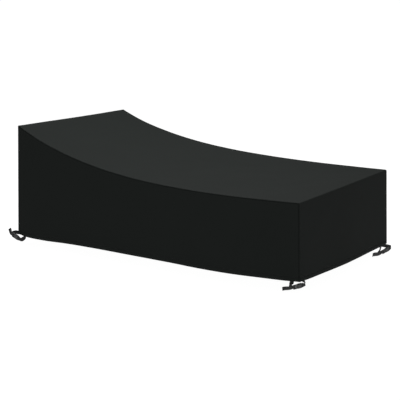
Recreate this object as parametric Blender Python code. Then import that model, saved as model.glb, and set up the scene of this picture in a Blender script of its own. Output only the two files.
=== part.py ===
# Fitted outdoor cover for a reclining lounge chair: one long body strip (head end, top, foot end),
# two shaped side panels, and at each bottom corner a pair of webbing straps with a side-release buckle.
# Frame: metres, +Z up, +X from the head to the foot, +Y to the left of someone lying on the chair.
# The origin is at the middle of the whole object's footprint, level with its lowest strap.
import bpy
import bmesh
import numpy as np
from math import cos, pi, radians, sin
from mathutils import Matrix, Vector

for item in list(bpy.data.objects):
    bpy.data.objects.remove(item, do_unlink=True)

# ---------------------------------------------------------------- driving sizes
LENGTH = 2.000            # top, from the head edge to the foot edge
WIDTH_HEAD = 1.072        # top, across the head edge
WIDTH_FOOT = 1.087        # top, across the foot edge
HEM_Z = 0.0658            # level of the hem above the lowest strap
ORIGIN_SHIFT = (0.0225, 0.0111, 0.0)   # from the middle of the top to the origin of the frame

CLOTH = 0.0015            # one layer of coated cloth
HEM_BAND = 0.028          # height of the turned-up hem
HEM_THICK = 0.0024        # the hem, with its turned-up layer
GAP = 0.00034             # air between two sewn pieces
FOLD_RADIUS = 0.009       # soft fold from the top to the two ends
TOP_SAG = 0.004           # the top dips this much between its two long edges

WEB_WIDTH = 0.025         # webbing
WEB_THICK = 0.0014
TAB = 0.024               # length of webbing sewn behind the hem
TAB_AIR = 0.0009          # air between the sewn webbing and the hem
WEB_STEP = 0.0025         # spacing of the sections where it twists
SEWN_BACK = 0.010         # length of webbing turned back past the socket's bar and sewn to itself

# Top edges: height above the hem level at each distance from the head edge.
TOP_EDGE = [
    dict(x=0.00, right=0.6990, left=0.6712),
    dict(x=0.15, right=0.6307, left=0.6125),
    dict(x=0.35, right=0.5637, left=0.5577),
    dict(x=0.60, right=0.5048, left=0.5108),
    dict(x=0.90, right=0.4633, left=0.4785),
    dict(x=1.20, right=0.4446, left=0.4630),
    dict(x=1.50, right=0.4406, left=0.4568),
    dict(x=1.75, right=0.4456, left=0.4572),
    dict(x=2.00, right=0.4543, left=0.4599),
]

# Hem corners: how far each flares out past the top corner above it, and how far it is lifted.
HEM_CORNER = {
    ("head", "right"): dict(out_x=0.0216, out_y=0.0063, lift=0.0026),
    ("head", "left"): dict(out_x=0.0190, out_y=0.0080, lift=0.0060),
    ("foot", "right"): dict(out_x=0.0149, out_y=0.0063, lift=0.0198),
    ("foot", "left"): dict(out_x=0.0149, out_y=0.0063, lift=-0.0003),
}

# Hems between their corners: how far the slack cloth stands out and hangs down there.
HEM = {
    "right": [
        dict(share=0.000, out=0.000, drop=0.0000),
        dict(share=0.025, out=0.006, drop=0.0065),
        dict(share=0.100, out=0.014, drop=0.0104),
        dict(share=0.200, out=0.013, drop=0.0057),
        dict(share=0.310, out=0.015, drop=0.0044),
        dict(share=0.450, out=0.018, drop=0.0073),
        dict(share=0.580, out=0.022, drop=0.0097),
        dict(share=0.720, out=0.026, drop=0.0137),
        dict(share=0.800, out=0.024, drop=0.0124),
        dict(share=0.885, out=0.015, drop=0.0079),
        dict(share=0.960, out=0.006, drop=0.0035),
        dict(share=1.000, out=0.000, drop=0.0000),
    ],
    "left": [
        dict(share=0.00, out=0.000, drop=0.0000),
        dict(share=0.08, out=0.008, drop=0.0050),
        dict(share=0.24, out=0.017, drop=0.0090),
        dict(share=0.41, out=0.014, drop=0.0060),
        dict(share=0.58, out=0.020, drop=0.0105),
        dict(share=0.76, out=0.023, drop=0.0120),
        dict(share=0.91, out=0.010, drop=0.0050),
        dict(share=1.00, out=0.000, drop=0.0000),
    ],
    "foot": [
        dict(share=0.00, out=0.000, drop=0.0000),
        dict(share=0.10, out=0.004, drop=0.0033),
        dict(share=0.22, out=0.007, drop=0.0051),
        dict(share=0.35, out=0.010, drop=0.0068),
        dict(share=0.48, out=0.012, drop=0.0070),
        dict(share=0.62, out=0.010, drop=0.0060),
        dict(share=0.77, out=0.007, drop=0.0044),
        dict(share=0.88, out=0.004, drop=0.0040),
        dict(share=1.00, out=0.000, drop=0.0000),
    ],
    "head": [
        dict(share=0.00, out=0.000, drop=0.0000),
        dict(share=0.15, out=0.006, drop=0.0040),
        dict(share=0.38, out=0.013, drop=0.0085),
        dict(share=0.60, out=0.011, drop=0.0060),
        dict(share=0.84, out=0.008, drop=0.0050),
        dict(share=1.00, out=0.000, drop=0.0000),
    ],
}

# One buckle at each bottom corner. at_side and at_end: where the two straps leave the hems, measured from the
# corner. x, y, z: middle of the buckle from the hem corner. The long way of the buckle, from its plug to its
# socket, points along azimuth and rise; face is the tilt of its front from upright (90 is face up). hang: how far
# each strap runs below the hem before it turns, and the radius there; turn: the same at the buckle. via: places it passes, each
# with its radius. tail and twist: the free webbing's end, from the end of the plug, and how far it turns about its
# own length.
SETS = {
    ("foot", "right"): dict(plug_on="side", at_side=0.0480, at_end=0.0460, x=-0.0148, y=0.0093, z=-0.0270,
                            azimuth=46, rise=9.9, face=-28, tail=(-0.0380, -0.0446, -0.0035), twist=-10,
                            plug_hang=(0.0072, 0.0122), plug_turn=(0.0209, 0.0130),
                            socket_hang=(0.006, 0.006), socket_turn=(0.0115, 0.0110)),
    ("foot", "left"): dict(plug_on="end", at_side=0.0500, at_end=0.0867, x=0.0073, y=-0.0299, z=-0.0366,
                           azimuth=54, rise=22.1, face=-24, tail=(-0.0180, -0.0860, 0.0009), twist=-3,
                           plug_hang=(0.0110, 0.0090), plug_turn=(0.0274, 0.0214),
                           socket_hang=(0.0138, 0.0134), socket_turn=(0.0120, 0.0110)),
    ("head", "right"): dict(plug_on="end", at_side=0.0560, at_end=0.0460, x=-0.0100, y=-0.0120, z=-0.0155,
                            azimuth=4, rise=-22, face=-12, tail=(-0.019, -0.001, 0.034), twist=-12,
                            plug_hang=(0.008, 0.005), plug_turn=(0.0110, 0.0100),
                            plug_via=[(-0.052, 0.036, -0.002, 0.012)],
                            socket_hang=(0.010, 0.014), socket_turn=(0.0140, 0.0160)),
    ("head", "left"): dict(plug_on="side", at_side=0.0530, at_end=0.0530, x=0.0280, y=-0.0240, z=-0.0295,
                           azimuth=226, rise=3, face=-90, tail=(0.034, 0.038, -0.010), twist=-15,
                           plug_hang=(0.006, 0.006), plug_turn=(0.0070, 0.0065),
                           socket_hang=(0.006, 0.006), socket_turn=(0.0115, 0.0110)),
}

# Side-release buckle for 25 mm webbing. l: along the webbing, v: across it, n: towards its front.
SOCKET_LENGTH = 0.0313
SOCKET_WIDTH = 0.0335
SOCKET_THICK = 0.0104
PLUG_REACH = 0.0226       # the plug's ladder, outside the socket's mouth
SHORTEN = 0.87            # both halves are drawn at 62 mm over all, and brought to 54 mm along the webbing

# ---------------------------------------------------------------- small tools


def through(rows, key, column, at):
    """A smooth line through one column of a table (cubic, with slopes taken from the neighbouring rows)."""
    x = np.array([row[key] for row in rows], float)
    y = np.array([row[column] for row in rows], float)
    step = np.diff(x)
    rise = np.diff(y) / step
    slope = np.empty_like(y)
    slope[1:-1] = (rise[:-1] * step[1:] + rise[1:] * step[:-1]) / (step[:-1] + step[1:])
    slope[0] = 1.5 * rise[0] - 0.5 * slope[1]
    slope[-1] = 1.5 * rise[-1] - 0.5 * slope[-2]
    at = np.clip(np.asarray(at, float), x[0], x[-1])
    i = np.clip(np.searchsorted(x, at, side="right") - 1, 0, len(x) - 2)
    t = (at - x[i]) / step[i]
    return ((2 * t ** 3 - 3 * t ** 2 + 1) * y[i] + (t ** 3 - 2 * t ** 2 + t) * step[i] * slope[i]
            + (3 * t ** 2 - 2 * t ** 3) * y[i + 1] + (t ** 3 - t ** 2) * step[i] * slope[i + 1])


def unit(v):
    v = np.asarray(v, float)
    return v / np.linalg.norm(v)


def mix(a, b, t):
    return np.asarray(a, float) * (1 - t) + np.asarray(b, float) * t


def ease(t):
    return t * t * (3 - 2 * t)


SIDE_SIGN = {"right": -1.0, "left": 1.0}
END_SIGN = {"head": -1.0, "foot": 1.0}

# ---------------------------------------------------------------- the cloth's outer surface


def top_height(x, across):
    """Height of the top. x from the head edge, across 0 at the right edge and 1 at the left one."""
    right = through(TOP_EDGE, "x", "right", x)
    left = through(TOP_EDGE, "x", "left", x)
    taper = np.clip(x / 0.25, 0, 1) * np.clip((LENGTH - x) / 0.25, 0, 1)
    return HEM_Z + right * (1 - across) + left * across - TOP_SAG * sin(pi * across) * (0.35 + 0.65 * taper)


def top_y(x, across):
    half = mix(WIDTH_HEAD, WIDTH_FOOT, x / LENGTH) / 2
    return -half + 2 * half * across


def top_point(x, across):
    return np.array([x - LENGTH / 2, top_y(x, across), top_height(x, across)])


def top_corner(end, side):
    return top_point(0.0 if end == "head" else LENGTH, 0.0 if side == "right" else 1.0)


def hem_corner(end, side):
    c = HEM_CORNER[(end, side)]
    top = top_corner(end, side)
    return np.array([top[0] + END_SIGN[end] * c["out_x"], top[1] + SIDE_SIGN[side] * c["out_y"], HEM_Z + c["lift"]])


def hem_point(panel, share):
    """The hem's lower edge. share runs head to foot on a side panel, and right to left on an end."""
    out = through(HEM[panel], "share", "out", share)
    drop = through(HEM[panel], "share", "drop", share)
    if panel in SIDE_SIGN:
        p = mix(hem_corner("head", panel), hem_corner("foot", panel), share)
        return p + np.array([0, SIDE_SIGN[panel] * out, -drop])
    p = mix(hem_corner(panel, "right"), hem_corner(panel, "left"), share)
    return p + np.array([END_SIGN[panel] * out, 0, -drop])


TOP_STATIONS = np.array([0.012, 0.05, 0.10, 0.16, 0.22, 0.29, 0.36, 0.44, 0.52, 0.61, 0.70, 0.80, 0.90, 1.01, 1.12,
                         1.24, 1.36, 1.48, 1.60, 1.71, 1.81, 1.89, 1.95, 1.988])
TOP_STATIONS[0] = FOLD_RADIUS
TOP_STATIONS[-1] = LENGTH - FOLD_RADIUS
FOLD_STEPS = 3


def upright_rows(height):
    """Heights of the rows of an upright panel, as shares of it: the first one is the top of the hem."""
    return np.array([0.0, HEM_BAND / height, 0.16, 0.32, 0.54, 0.78, 1.0])


def end_leg(end, across):
    """One upright line of an end panel, from its hem to where the fold begins."""
    corner = top_point(0.0 if end == "head" else LENGTH, across)
    low = hem_point(end, across)
    height = np.linalg.norm(corner - low)
    start = mix(corner, low, FOLD_RADIUS / height)
    # the slack at the hem fades out upwards, so the cloth is a little hollow above it
    slack = through(HEM[end], "share", "out", across)
    points = []
    for h in upright_rows(height):
        p = mix(low, start, h)
        p[0] -= END_SIGN[end] * slack * 0.35 * sin(pi * min(h, 1.0)) * (1 - h)
        points.append(p)
    return points, corner, start


def fold(start, corner, finish):
    """The soft fold between an end panel and the top."""
    out = []
    for k in range(1, FOLD_STEPS + 1):
        t = k / (FOLD_STEPS + 1)
        out.append((1 - t) ** 2 * start + 2 * t * (1 - t) * corner + t * t * finish)
    return out


def strip_line(across):
    """The body strip's outer face along one line, from the head hem over the top to the foot hem."""
    head, head_corner, head_start = end_leg("head", across)
    foot, foot_corner, foot_start = end_leg("foot", across)
    top = [top_point(x, across) for x in TOP_STATIONS]
    return (head + fold(head_start, head_corner, top[0]) + top
            + fold(top[-1], foot_corner, foot_start) + foot[::-1])


UPRIGHTS = len(upright_rows(0.5))

# ---------------------------------------------------------------- materials


def material(name, colour, roughness, metallic=0.0):
    m = bpy.data.materials.new(name)
    m.use_nodes = True
    shader = m.node_tree.nodes["Principled BSDF"]
    shader.inputs["Base Color"].default_value = (*colour, 1.0)
    shader.inputs["Roughness"].default_value = roughness
    shader.inputs["Metallic"].default_value = metallic
    m.diffuse_color = (*colour, 1.0)
    return m


def place(name, mesh, colour, roughness):
    obj = bpy.data.objects.new(name, mesh)
    bpy.context.scene.collection.objects.link(obj)
    obj.location = ORIGIN_SHIFT
    mesh_material = material(name + "_finish", colour, roughness)
    if len(mesh.materials) == 0:
        mesh.materials.append(None)
    obj.material_slots[0].link = "OBJECT"
    obj.material_slots[0].material = mesh_material
    return obj


CLOTH_COLOUR = (0.0200, 0.0215, 0.0205)
WEB_COLOUR = (0.0120, 0.0125, 0.0125)
PLASTIC_COLOUR = (0.0180, 0.0185, 0.0190)

# ---------------------------------------------------------------- sheets


def sheet(name, grid, outward, hem_weight):
    """A closed cloth panel: a grid of points on the outer face, thickened inwards."""
    rows, cols = len(grid), len(grid[0])
    bm = bmesh.new()
    layer = bm.verts.layers.deform.verify()
    verts = [[bm.verts.new(Vector(p)) for p in row] for row in grid]
    for i in range(rows):
        for j in range(cols):
            verts[i][j][layer][0] = hem_weight(i, j)
    for i in range(rows - 1):
        for j in range(cols - 1):
            bm.faces.new((verts[i][j], verts[i + 1][j], verts[i + 1][j + 1], verts[i][j + 1]))
    bm.normal_update()
    middle = verts[rows // 2][cols // 2].link_faces[0]
    if middle.normal.dot(Vector(outward)) < 0:
        bmesh.ops.reverse_faces(bm, faces=bm.faces[:])
    mesh = bpy.data.meshes.new(name)
    bm.to_mesh(mesh)
    bm.free()
    mesh.shade_smooth()
    obj = place(name, mesh, CLOTH_COLOUR, 0.85)
    obj.vertex_groups.new(name="hem")
    solid = obj.modifiers.new("Thickness", "SOLIDIFY")
    solid.thickness = HEM_THICK
    solid.offset = -1.0
    solid.use_even_offset = True
    solid.vertex_group = "hem"
    solid.thickness_vertex_group = CLOTH / HEM_THICK
    return obj


STRIP_COLUMNS = np.array([0.0, 0.030, 0.08, 0.20, 0.32, 0.44, 0.56, 0.68, 0.80, 0.88, 0.970, 1.0])


def body_strip():
    grid = [strip_line(w) for w in STRIP_COLUMNS]
    last = len(grid[0]) - 1

    def weight(i, j):
        inner = 0 < i < len(grid) - 1
        return 1.0 if inner and (j in (0, 1) or j in (last - 1, last)) else 0.0

    return sheet("body_strip", grid, (0, 0, 1), weight)


def side_panel(side):
    """The side panel stands just inside the strip: its top and ends follow the strip's edge line."""
    across = 0.0 if side == "right" else 1.0
    line = np.array(strip_line(across))
    edge = line[UPRIGHTS - 1:len(line) - UPRIGHTS + 1]      # from the start of one fold to the end of the other
    inset = CLOTH + GAP
    flat = edge[:, [0, 2]]
    before = np.vstack([line[UPRIGHTS - 2][[0, 2]][None], flat[:-1]])
    after = np.vstack([flat[1:], line[len(line) - UPRIGHTS + 1][[0, 2]][None]])
    a = (flat - before) / np.linalg.norm(flat - before, axis=1)[:, None]
    b = (after - flat) / np.linalg.norm(after - flat, axis=1)[:, None]
    na = np.stack([a[:, 1], -a[:, 0]], 1)                    # inward, below the top
    nb = np.stack([b[:, 1], -b[:, 0]], 1)
    n = na + nb
    n = n / (n * na).sum(1)[:, None]
    moved = edge.copy()
    moved[:, [0, 2]] += n * inset
    share = (edge[:, 0] - edge[0, 0]) / (edge[-1, 0] - edge[0, 0])
    low_head, low_foot = hem_point(side, 0.0), hem_point(side, 1.0)
    grid = []
    for k, top in enumerate(moved):
        low = hem_point(side, share[k])
        low[0] = mix(low_head[0] + inset * 1.001, low_foot[0] - inset * 1.001, share[k])
        slack = through(HEM[side], "share", "out", share[k])
        height = np.linalg.norm(top - low)
        column = []
        for h in upright_rows(height):
            p = mix(low, top, h)
            p[1] -= SIDE_SIGN[side] * slack * 0.35 * sin(pi * min(h, 1.0)) * (1 - h)
            column.append(p)
        grid.append(column)

    def weight(i, j):
        from_end = min(share[i], 1 - share[i]) * LENGTH
        return float(np.clip((from_end - 0.008) / 0.014, 0, 1)) if j in (0, 1) else 0.0

    return sheet("side_panel_" + side, grid, (0, SIDE_SIGN[side], 0), weight)


# ---------------------------------------------------------------- webbing


def panel_place(panel, from_corner, end_or_side, height):
    """A point on the inner face of a hem: where it is, which way the hem runs there, up, and out."""
    if panel in SIDE_SIGN:
        total = LENGTH
        share = from_corner / total if end_or_side == "head" else 1 - from_corner / total
        out = np.array([0, SIDE_SIGN[panel], 0])
        top = top_point(share * LENGTH, 0.0 if panel == "right" else 1.0)
    else:
        total = WIDTH_HEAD
        share = from_corner / total if end_or_side == "right" else 1 - from_corner / total
        out = np.array([END_SIGN[panel], 0, 0])
        top = top_point(0.0 if panel == "head" else LENGTH, share)
    low = hem_point(panel, share)
    along = unit(hem_point(panel, share + 0.006) - hem_point(panel, share - 0.006))
    slack = through(HEM[panel], "share", "out", share)
    tall = np.linalg.norm(top - low)
    h = HEM_BAND / tall
    upper = mix(low, top, h) - out * slack * 0.35 * sin(pi * h) * (1 - h)
    up = unit(upper - low)
    face = np.cross(along, up)
    face = unit(face * np.sign(face @ out))
    return low + up * height, along, up, face


def bezier(p0, p1, p2, p3, n):
    t = np.linspace(0, 1, n + 1)[:, None]
    return (1 - t) ** 3 * p0 + 3 * t * (1 - t) ** 2 * p1 + 3 * t * t * (1 - t) * p2 + t ** 3 * p3


def rounded(corners, steps=3):
    """A path in the buckle's l-n plane with its corners turned on small arcs. Rows: l, n, radius (in mm)."""
    pts = [np.array(c[:2], float) for c in corners]
    out = [pts[0]]
    for k in range(1, len(pts) - 1):
        r = corners[k][2]
        a, b = unit(pts[k - 1] - pts[k]), unit(pts[k + 1] - pts[k])
        half = np.arccos(np.clip(a @ b, -1, 1)) / 2
        if r <= 0 or half > 1.5:
            out.append(pts[k])
            continue
        back = r / np.tan(half)
        start, finish = pts[k] + a * back, pts[k] + b * back
        centre = pts[k] + unit(a + b) * r / np.sin(half)
        for s in range(steps + 1):
            t = s / steps
            ang0 = np.arctan2(*(start - centre)[::-1])
            ang1 = np.arctan2(*(finish - centre)[::-1])
            turn = (ang1 - ang0 + pi) % (2 * pi) - pi
            ang = ang0 + turn * t
            out.append(centre + r * np.array([cos(ang), sin(ang)]))
    out.append(pts[-1])
    return np.array(out) * 0.001


class Buckle:
    """Where a buckle is, and which way its three directions point."""

    def __init__(self, end, side, row):
        self.l = np.array([cos(radians(row["azimuth"])) * cos(radians(row["rise"])),
                           sin(radians(row["azimuth"])) * cos(radians(row["rise"])), sin(radians(row["rise"]))])
        outward = np.array([END_SIGN[end], SIDE_SIGN[side], 0.0])
        flat = unit(np.cross(self.l, [0, 0, 1]))
        flat *= np.sign(flat @ outward)
        up = unit(np.cross(flat, self.l))
        up *= np.sign(up[2])
        tilt = radians(row["face"])
        self.n = unit(cos(tilt) * flat + sin(tilt) * up)
        self.v = np.cross(self.n, self.l)
        self.middle = hem_corner(end, side) + np.array([row["x"], row["y"], row["z"]])
        # l = 0 is the socket's mouth; the middle of the closed buckle is 5 mm inside it
        self.origin = self.middle - self.l * (SOCKET_LENGTH - PLUG_REACH) / 2

    def at(self, l, v, n):
        return self.origin + self.l * l + self.v * v + self.n * n

    def path(self, pts):
        return np.array([self.at(p[0], 0, p[1]) for p in pts])

    def matrix(self):
        m = Matrix((self.l, self.v, self.n)).transposed().to_4x4()
        m.translation = Vector(self.origin)
        return m


def directions(points):
    step = np.diff(points, axis=0)
    step = step / np.linalg.norm(step, axis=1)[:, None]
    t = np.vstack([step[:1], step[:-1] + step[1:], step[-1:]])
    return t / np.linalg.norm(t, axis=1)[:, None]


def carried(points, first, last, begin=0.0, finish=1.0):
    """Width directions along a free stretch: carried without twist from the first one, and turned to meet the last
    one between two shares of the length."""
    t = directions(points)
    side = [unit(first - t[0] * (first @ t[0]))]
    for k in range(1, len(points)):
        side.append(unit(side[-1] - t[k] * (side[-1] @ t[k])))
    goal = unit(last - t[-1] * (last @ t[-1]))
    if goal @ side[-1] < 0:
        goal = -goal
    turn = np.arctan2(np.cross(side[-1], goal) @ t[-1], side[-1] @ goal)
    run = np.concatenate([[0], np.cumsum(np.linalg.norm(np.diff(points, axis=0), axis=1))])
    share = np.clip((run / run[-1] - begin) / (finish - begin), 0, 1)
    angle = turn * ease(share)
    return np.array([cos(a) * w + sin(a) * np.cross(d, w) for a, w, d in zip(angle, side, t)])


def ribbon(name, points, sides):
    """A closed strap: a flat section carried along the points, and capped at both ends."""
    tangents = directions(points)
    bm = bmesh.new()
    rings = []
    for p, t, s in zip(points, tangents, sides):
        s = unit(s - t * (s @ t))
        n = np.cross(t, s)
        w, h = s * WEB_WIDTH / 2, n * WEB_THICK / 2
        rings.append([bm.verts.new(Vector(q)) for q in (p - w - h, p + w - h, p + w + h, p - w + h)])
    for a, b in zip(rings, rings[1:]):
        # both broad faces are split along the same diagonal, so a twisted stretch keeps its thickness
        for k in (1, 3):
            bm.faces.new((a[k], a[(k + 1) % 4], b[(k + 1) % 4], b[k]))
        bm.faces.new((a[0], a[1], b[1]))
        bm.faces.new((a[0], b[1], b[0]))
        bm.faces.new((a[3], b[2], a[2]))
        bm.faces.new((a[3], b[3], b[2]))
    bm.faces.new(rings[0][::-1])
    bm.faces.new(rings[-1])
    bmesh.ops.recalc_face_normals(bm, faces=bm.faces[:])
    mesh = bpy.data.meshes.new(name)
    bm.to_mesh(mesh)
    bm.free()
    return place(name, mesh, WEB_COLOUR, 0.8)


def cornered(points, radii):
    """A line of straight stretches with its corners rounded; also the shares where its longest straight one lies."""
    out, straight = [points[0]], []
    for k in range(1, len(points) - 1):
        a, b = unit(points[k - 1] - points[k]), unit(points[k + 1] - points[k])
        bend = pi - np.arccos(np.clip(a @ b, -1, 1))
        r = radii[k - 1]
        back = r * np.tan(bend / 2)
        room = min(np.linalg.norm(points[k - 1] - points[k]), np.linalg.norm(points[k + 1] - points[k]))
        if k > 1:
            room = min(room, np.linalg.norm(points[k] - out[-1]))
        wanted = min(max(back, 0.8 * min(room, 0.006)), 0.92 * room)      # a slight corner is turned more widely
        r = wanted / np.tan(max(bend, 0.01) / 2)
        back = wanted
        start, finish = points[k] + a * back, points[k] + b * back
        if bend < 0.03:
            out.append(points[k])
            continue
        centre = points[k] + unit(a + b) * r / cos(bend / 2)
        count = max(2, int(np.ceil(bend / 0.27)))
        straight.append((out[-1], start, len(out) - 1))
        radial, ahead = unit(start - centre), -a
        out += [centre + r * (cos(bend * s / count) * radial + sin(bend * s / count) * ahead)
                for s in range(count + 1)]
    straight.append((out[-1], points[-1], len(out) - 1))
    out.append(points[-1])
    longest = max(straight, key=lambda q: np.linalg.norm(q[1] - q[0]))
    at = longest[2]
    count = max(2, int(round(np.linalg.norm(longest[1] - longest[0]) / WEB_STEP)))
    between = [mix(longest[0], longest[1], s / count) for s in range(1, count)]
    out = np.array(out[:at + 1] + between + out[at + 1:])
    run = np.concatenate([[0], np.cumsum(np.linalg.norm(np.diff(out, axis=0), axis=1))])
    return out, run[at] / run[-1], run[at + count] / run[-1]


def strap_from_hem(panel, where, corner_side, buckle, corner, hang, via, exit_point, leaving, turn):
    """The tab behind the hem, then the free stretch to the buckle. Width directions come with it."""
    inner = HEM_THICK + TAB_AIR + WEB_THICK / 2
    top, along, up, face = panel_place(panel, where, corner_side, TAB)
    edge = panel_place(panel, where, corner_side, 0.0)[0] - face * inner
    tops = top - face * inner
    reach, radius = turn
    points = [edge, edge - up * hang[0]] + [corner + np.array(v[:3]) for v in via]
    points += [exit_point + leaving * reach, exit_point]
    free, begin, finish = cornered(points, [hang[1]] + [v[3] for v in via] + [radius])
    sides = carried(free, along, buckle.v, begin, finish)
    return np.vstack([tops[None], free]), np.vstack([[along], sides])


def strap_set(end, side, row):
    tag = end + "_" + side
    b = Buckle(end, side, row)
    plug_panel, plug_where = (side, row["at_side"]) if row["plug_on"] == "side" else (end, row["at_end"])
    sock_panel, sock_where = (end, row["at_end"]) if row["plug_on"] == "side" else (side, row["at_side"])

    def corner_of(panel):
        return end if panel in SIDE_SIGN else side

    # adjustable strap: hem, under the ladder, over its bar, back between the ladder's lip and itself, free tail
    ladder = rounded([(-25.2, -3.1, 0), (-9.8, -3.1, 1.5), (-9.8, 2.9, 1.5), (-17.2, 2.9, 1.5), (-17.2, -1.3, 1.3),
                      (-23.6, -1.3, 5.0), (-27.2, -0.4, 0)])
    threaded = b.path(ladder)
    corner = hem_corner(end, side)
    pts, sides = strap_from_hem(plug_panel, plug_where, corner_of(plug_panel), b, corner, row["plug_hang"],
                                row.get("plug_via", []), threaded[0], -b.l, row["plug_turn"])
    end_of_tail = threaded[-1] + np.array(row["tail"])
    reach = np.linalg.norm(row["tail"]) / 3
    droop = unit(np.array(row["tail"]) + np.array([0, 0, -0.012]))
    tail = bezier(threaded[-1], threaded[-1] + unit(threaded[-1] - threaded[-2]) * reach, end_of_tail - droop * reach, end_of_tail, 8)
    turned = cos(radians(row["twist"])) * b.v + sin(radians(row["twist"])) * b.n
    tail_sides = carried(tail, b.v, turned)
    v = sides[-1] if sides[-1] @ b.v > 0 else -sides[-1]
    flip = 1.0 if sides[-1] @ b.v > 0 else -1.0
    all_points = np.vstack([pts[:-1], threaded, tail[1:]])
    all_sides = np.vstack([sides[:-1], [b.v * flip] * len(threaded), tail_sides[1:] * flip])
    ribbon("strap_adjust_" + tag, all_points, all_sides)

    # fixed strap: hem, over the socket's bar, round it, and back along its own other face
    local = rounded([(37.0, -0.95, 0), (32.7, -3.65, 1.2), (25.7, -3.65, 1.5), (25.7, 3.65, 1.5), (32.7, 3.65, 1.2),
                     (37.0, 0.95, 0)])
    loop = b.path(local)
    pts, sides = strap_from_hem(sock_panel, sock_where, corner_of(sock_panel), b, corner, row["socket_hang"],
                                row.get("socket_via", []), loop[0], b.l, row["socket_turn"])
    flip = 1.0 if sides[-1] @ b.v > 0 else -1.0
    # the turned-back end is sewn to the strap and follows it for a short way
    tangents = directions(pts)
    under = []
    under_sides = []
    walked = 0.0
    last_n = b.n
    for k in range(len(pts) - 2, 0, -1):
        walked += np.linalg.norm(pts[k] - pts[k + 1])
        if walked > SEWN_BACK:
            break
        n = np.cross(tangents[k], sides[k])
        n *= np.sign(n @ last_n)
        last_n = n
        under.append(pts[k] + n * 0.0019)
        under_sides.append(sides[k])
    all_points = np.vstack([pts[:-1], loop] + ([under] if under else []))
    all_sides = np.vstack([sides[:-1], [b.v * flip] * len(loop)] + ([under_sides] if under else []))
    ribbon("strap_fixed_" + tag, all_points, all_sides)
    return b


# ---------------------------------------------------------------- the buckle's two plastic halves


def block(low, high, bevel=0.0, segments=1, taper=0.0):
    """A rounded block between two corners (mm), as a temporary object."""
    bm = bmesh.new()
    bmesh.ops.create_cube(bm, size=1.0)
    low, high = np.array(low) * 0.001, np.array(high) * 0.001
    for v in bm.verts:
        c = np.array(v.co)
        p = (low + high) / 2 + c * (high - low)
        if taper and c[0] > 0:
            p[1] = (low[1] + high[1]) / 2 + (p[1] - (low[1] + high[1]) / 2) * (1 - taper)
        v.co = Vector(p)
    if bevel:
        bmesh.ops.bevel(bm, geom=bm.edges[:], offset=bevel * 0.001, segments=segments, profile=0.5,
                        affect="EDGES", clamp_overlap=True)
    mesh = bpy.data.meshes.new("block")
    bm.to_mesh(mesh)
    bm.free()
    obj = bpy.data.objects.new("block", mesh)
    bpy.context.scene.collection.objects.link(obj)
    return obj


def outline(points, low, high):
    """A flat outline (mm, in l and v) given a height from low to high, as a temporary object."""
    bm = bmesh.new()
    ring = [bm.verts.new((p[0] * 0.001, p[1] * 0.001, low * 0.001)) for p in points]
    face = bm.faces.new(ring)
    grown = bmesh.ops.extrude_face_region(bm, geom=[face])
    for g in grown["geom"]:
        if isinstance(g, bmesh.types.BMVert):
            g.co.z = high * 0.001
    bmesh.ops.recalc_face_normals(bm, faces=bm.faces[:])
    mesh = bpy.data.meshes.new("outline")
    bm.to_mesh(mesh)
    bm.free()
    obj = bpy.data.objects.new("outline", mesh)
    bpy.context.scene.collection.objects.link(obj)
    return obj


def combined(base, added, cut):
    """The base with pieces joined on and others cut away, as one mesh. The helpers are removed."""
    for operation, group in (("UNION", added), ("DIFFERENCE", cut)):
        for other in group:
            m = base.modifiers.new(operation.title(), "BOOLEAN")
            m.operation = operation
            m.solver = "EXACT"
            m.object = other
    bpy.context.view_layer.update()
    graph = bpy.context.evaluated_depsgraph_get()
    mesh = bpy.data.meshes.new_from_object(base.evaluated_get(graph))
    for other in [base] + added + cut:
        bpy.data.objects.remove(other, do_unlink=True)
    bm = bmesh.new()
    bm.from_mesh(mesh)
    bmesh.ops.dissolve_degenerate(bm, dist=1e-6, edges=bm.edges[:])
    bmesh.ops.triangulate(bm, faces=[f for f in bm.faces if len(f.verts) > 4])
    bm.to_mesh(mesh)
    bm.free()
    return mesh


def socket_mesh():
    """The socket: a shallow hollow body with a window in each side for the plug's arms, and a bar for the strap."""
    half = SOCKET_WIDTH * 500
    thick = SOCKET_THICK * 500
    shell = block((0.0, -half, -thick), (28.5, half, thick), 2.2, 2, taper=0.04)
    tail = block((25.0, -15.6, -2.6), (36.0, 15.6, 2.6), 1.2, 2)
    cavity = block((-1.0, -13.4, -3.0), (23.5, 13.4, 3.0))
    windows = [block((7.5, s * 16.9 - 4.2, -3.3), (19.5, s * 16.9 + 4.2, 3.3)) for s in (-1, 1)]
    slot = block((27.7, -13.2, -9.0), (31.6, 13.2, 9.0))
    relief = [block((25.9, -13.2, z - 3.0), (28.2, 13.2, z + 3.0)) for z in (-5.2, 5.2)]
    return combined(shell, [tail], [cavity] + windows + [slot] + relief)


def plug_mesh():
    """The plug: a ladder for the webbing, a shoulder, a middle guide, and two springy arms with thumb heads."""
    shoulder = block((-8.6, -15.9, -3.1), (-0.3, 15.9, 3.1), 1.0, 2)
    rails = [block((-26.0, s * 14.9 - 1.5, -2.0), (-5.0, s * 14.9 + 1.5, 3.3), 0.7) for s in (-1, 1)]
    bar = block((-17.5, -14.6, -1.2), (-13.5, 14.6, 1.8), 0.8)
    lip = block((-26.4, -14.7, -0.2), (-22.0, 14.7, 3.8), 0.9)
    guide = block((-3.0, -2.0, -1.6), (19.5, 2.0, 1.6), 0.6)
    arms = []
    for s in (-1, 1):
        shape = [(-3.0, 8.2), (-3.0, 11.0), (4.0, 12.6), (8.2, 12.8), (8.6, 16.3), (11.5, 17.0), (15.0, 16.2),
                 (18.6, 13.4), (21.6, 11.4), (22.4, 10.0), (21.6, 8.8), (18.0, 9.0), (12.0, 10.0), (5.0, 9.4)]
        shape = [(l, s * v) for l, v in shape]
        arms.append(outline(shape if s < 0 else shape[::-1], -2.3, 2.3))
    return combined(shoulder, rails + [bar, lip, guide] + arms, [])


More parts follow.
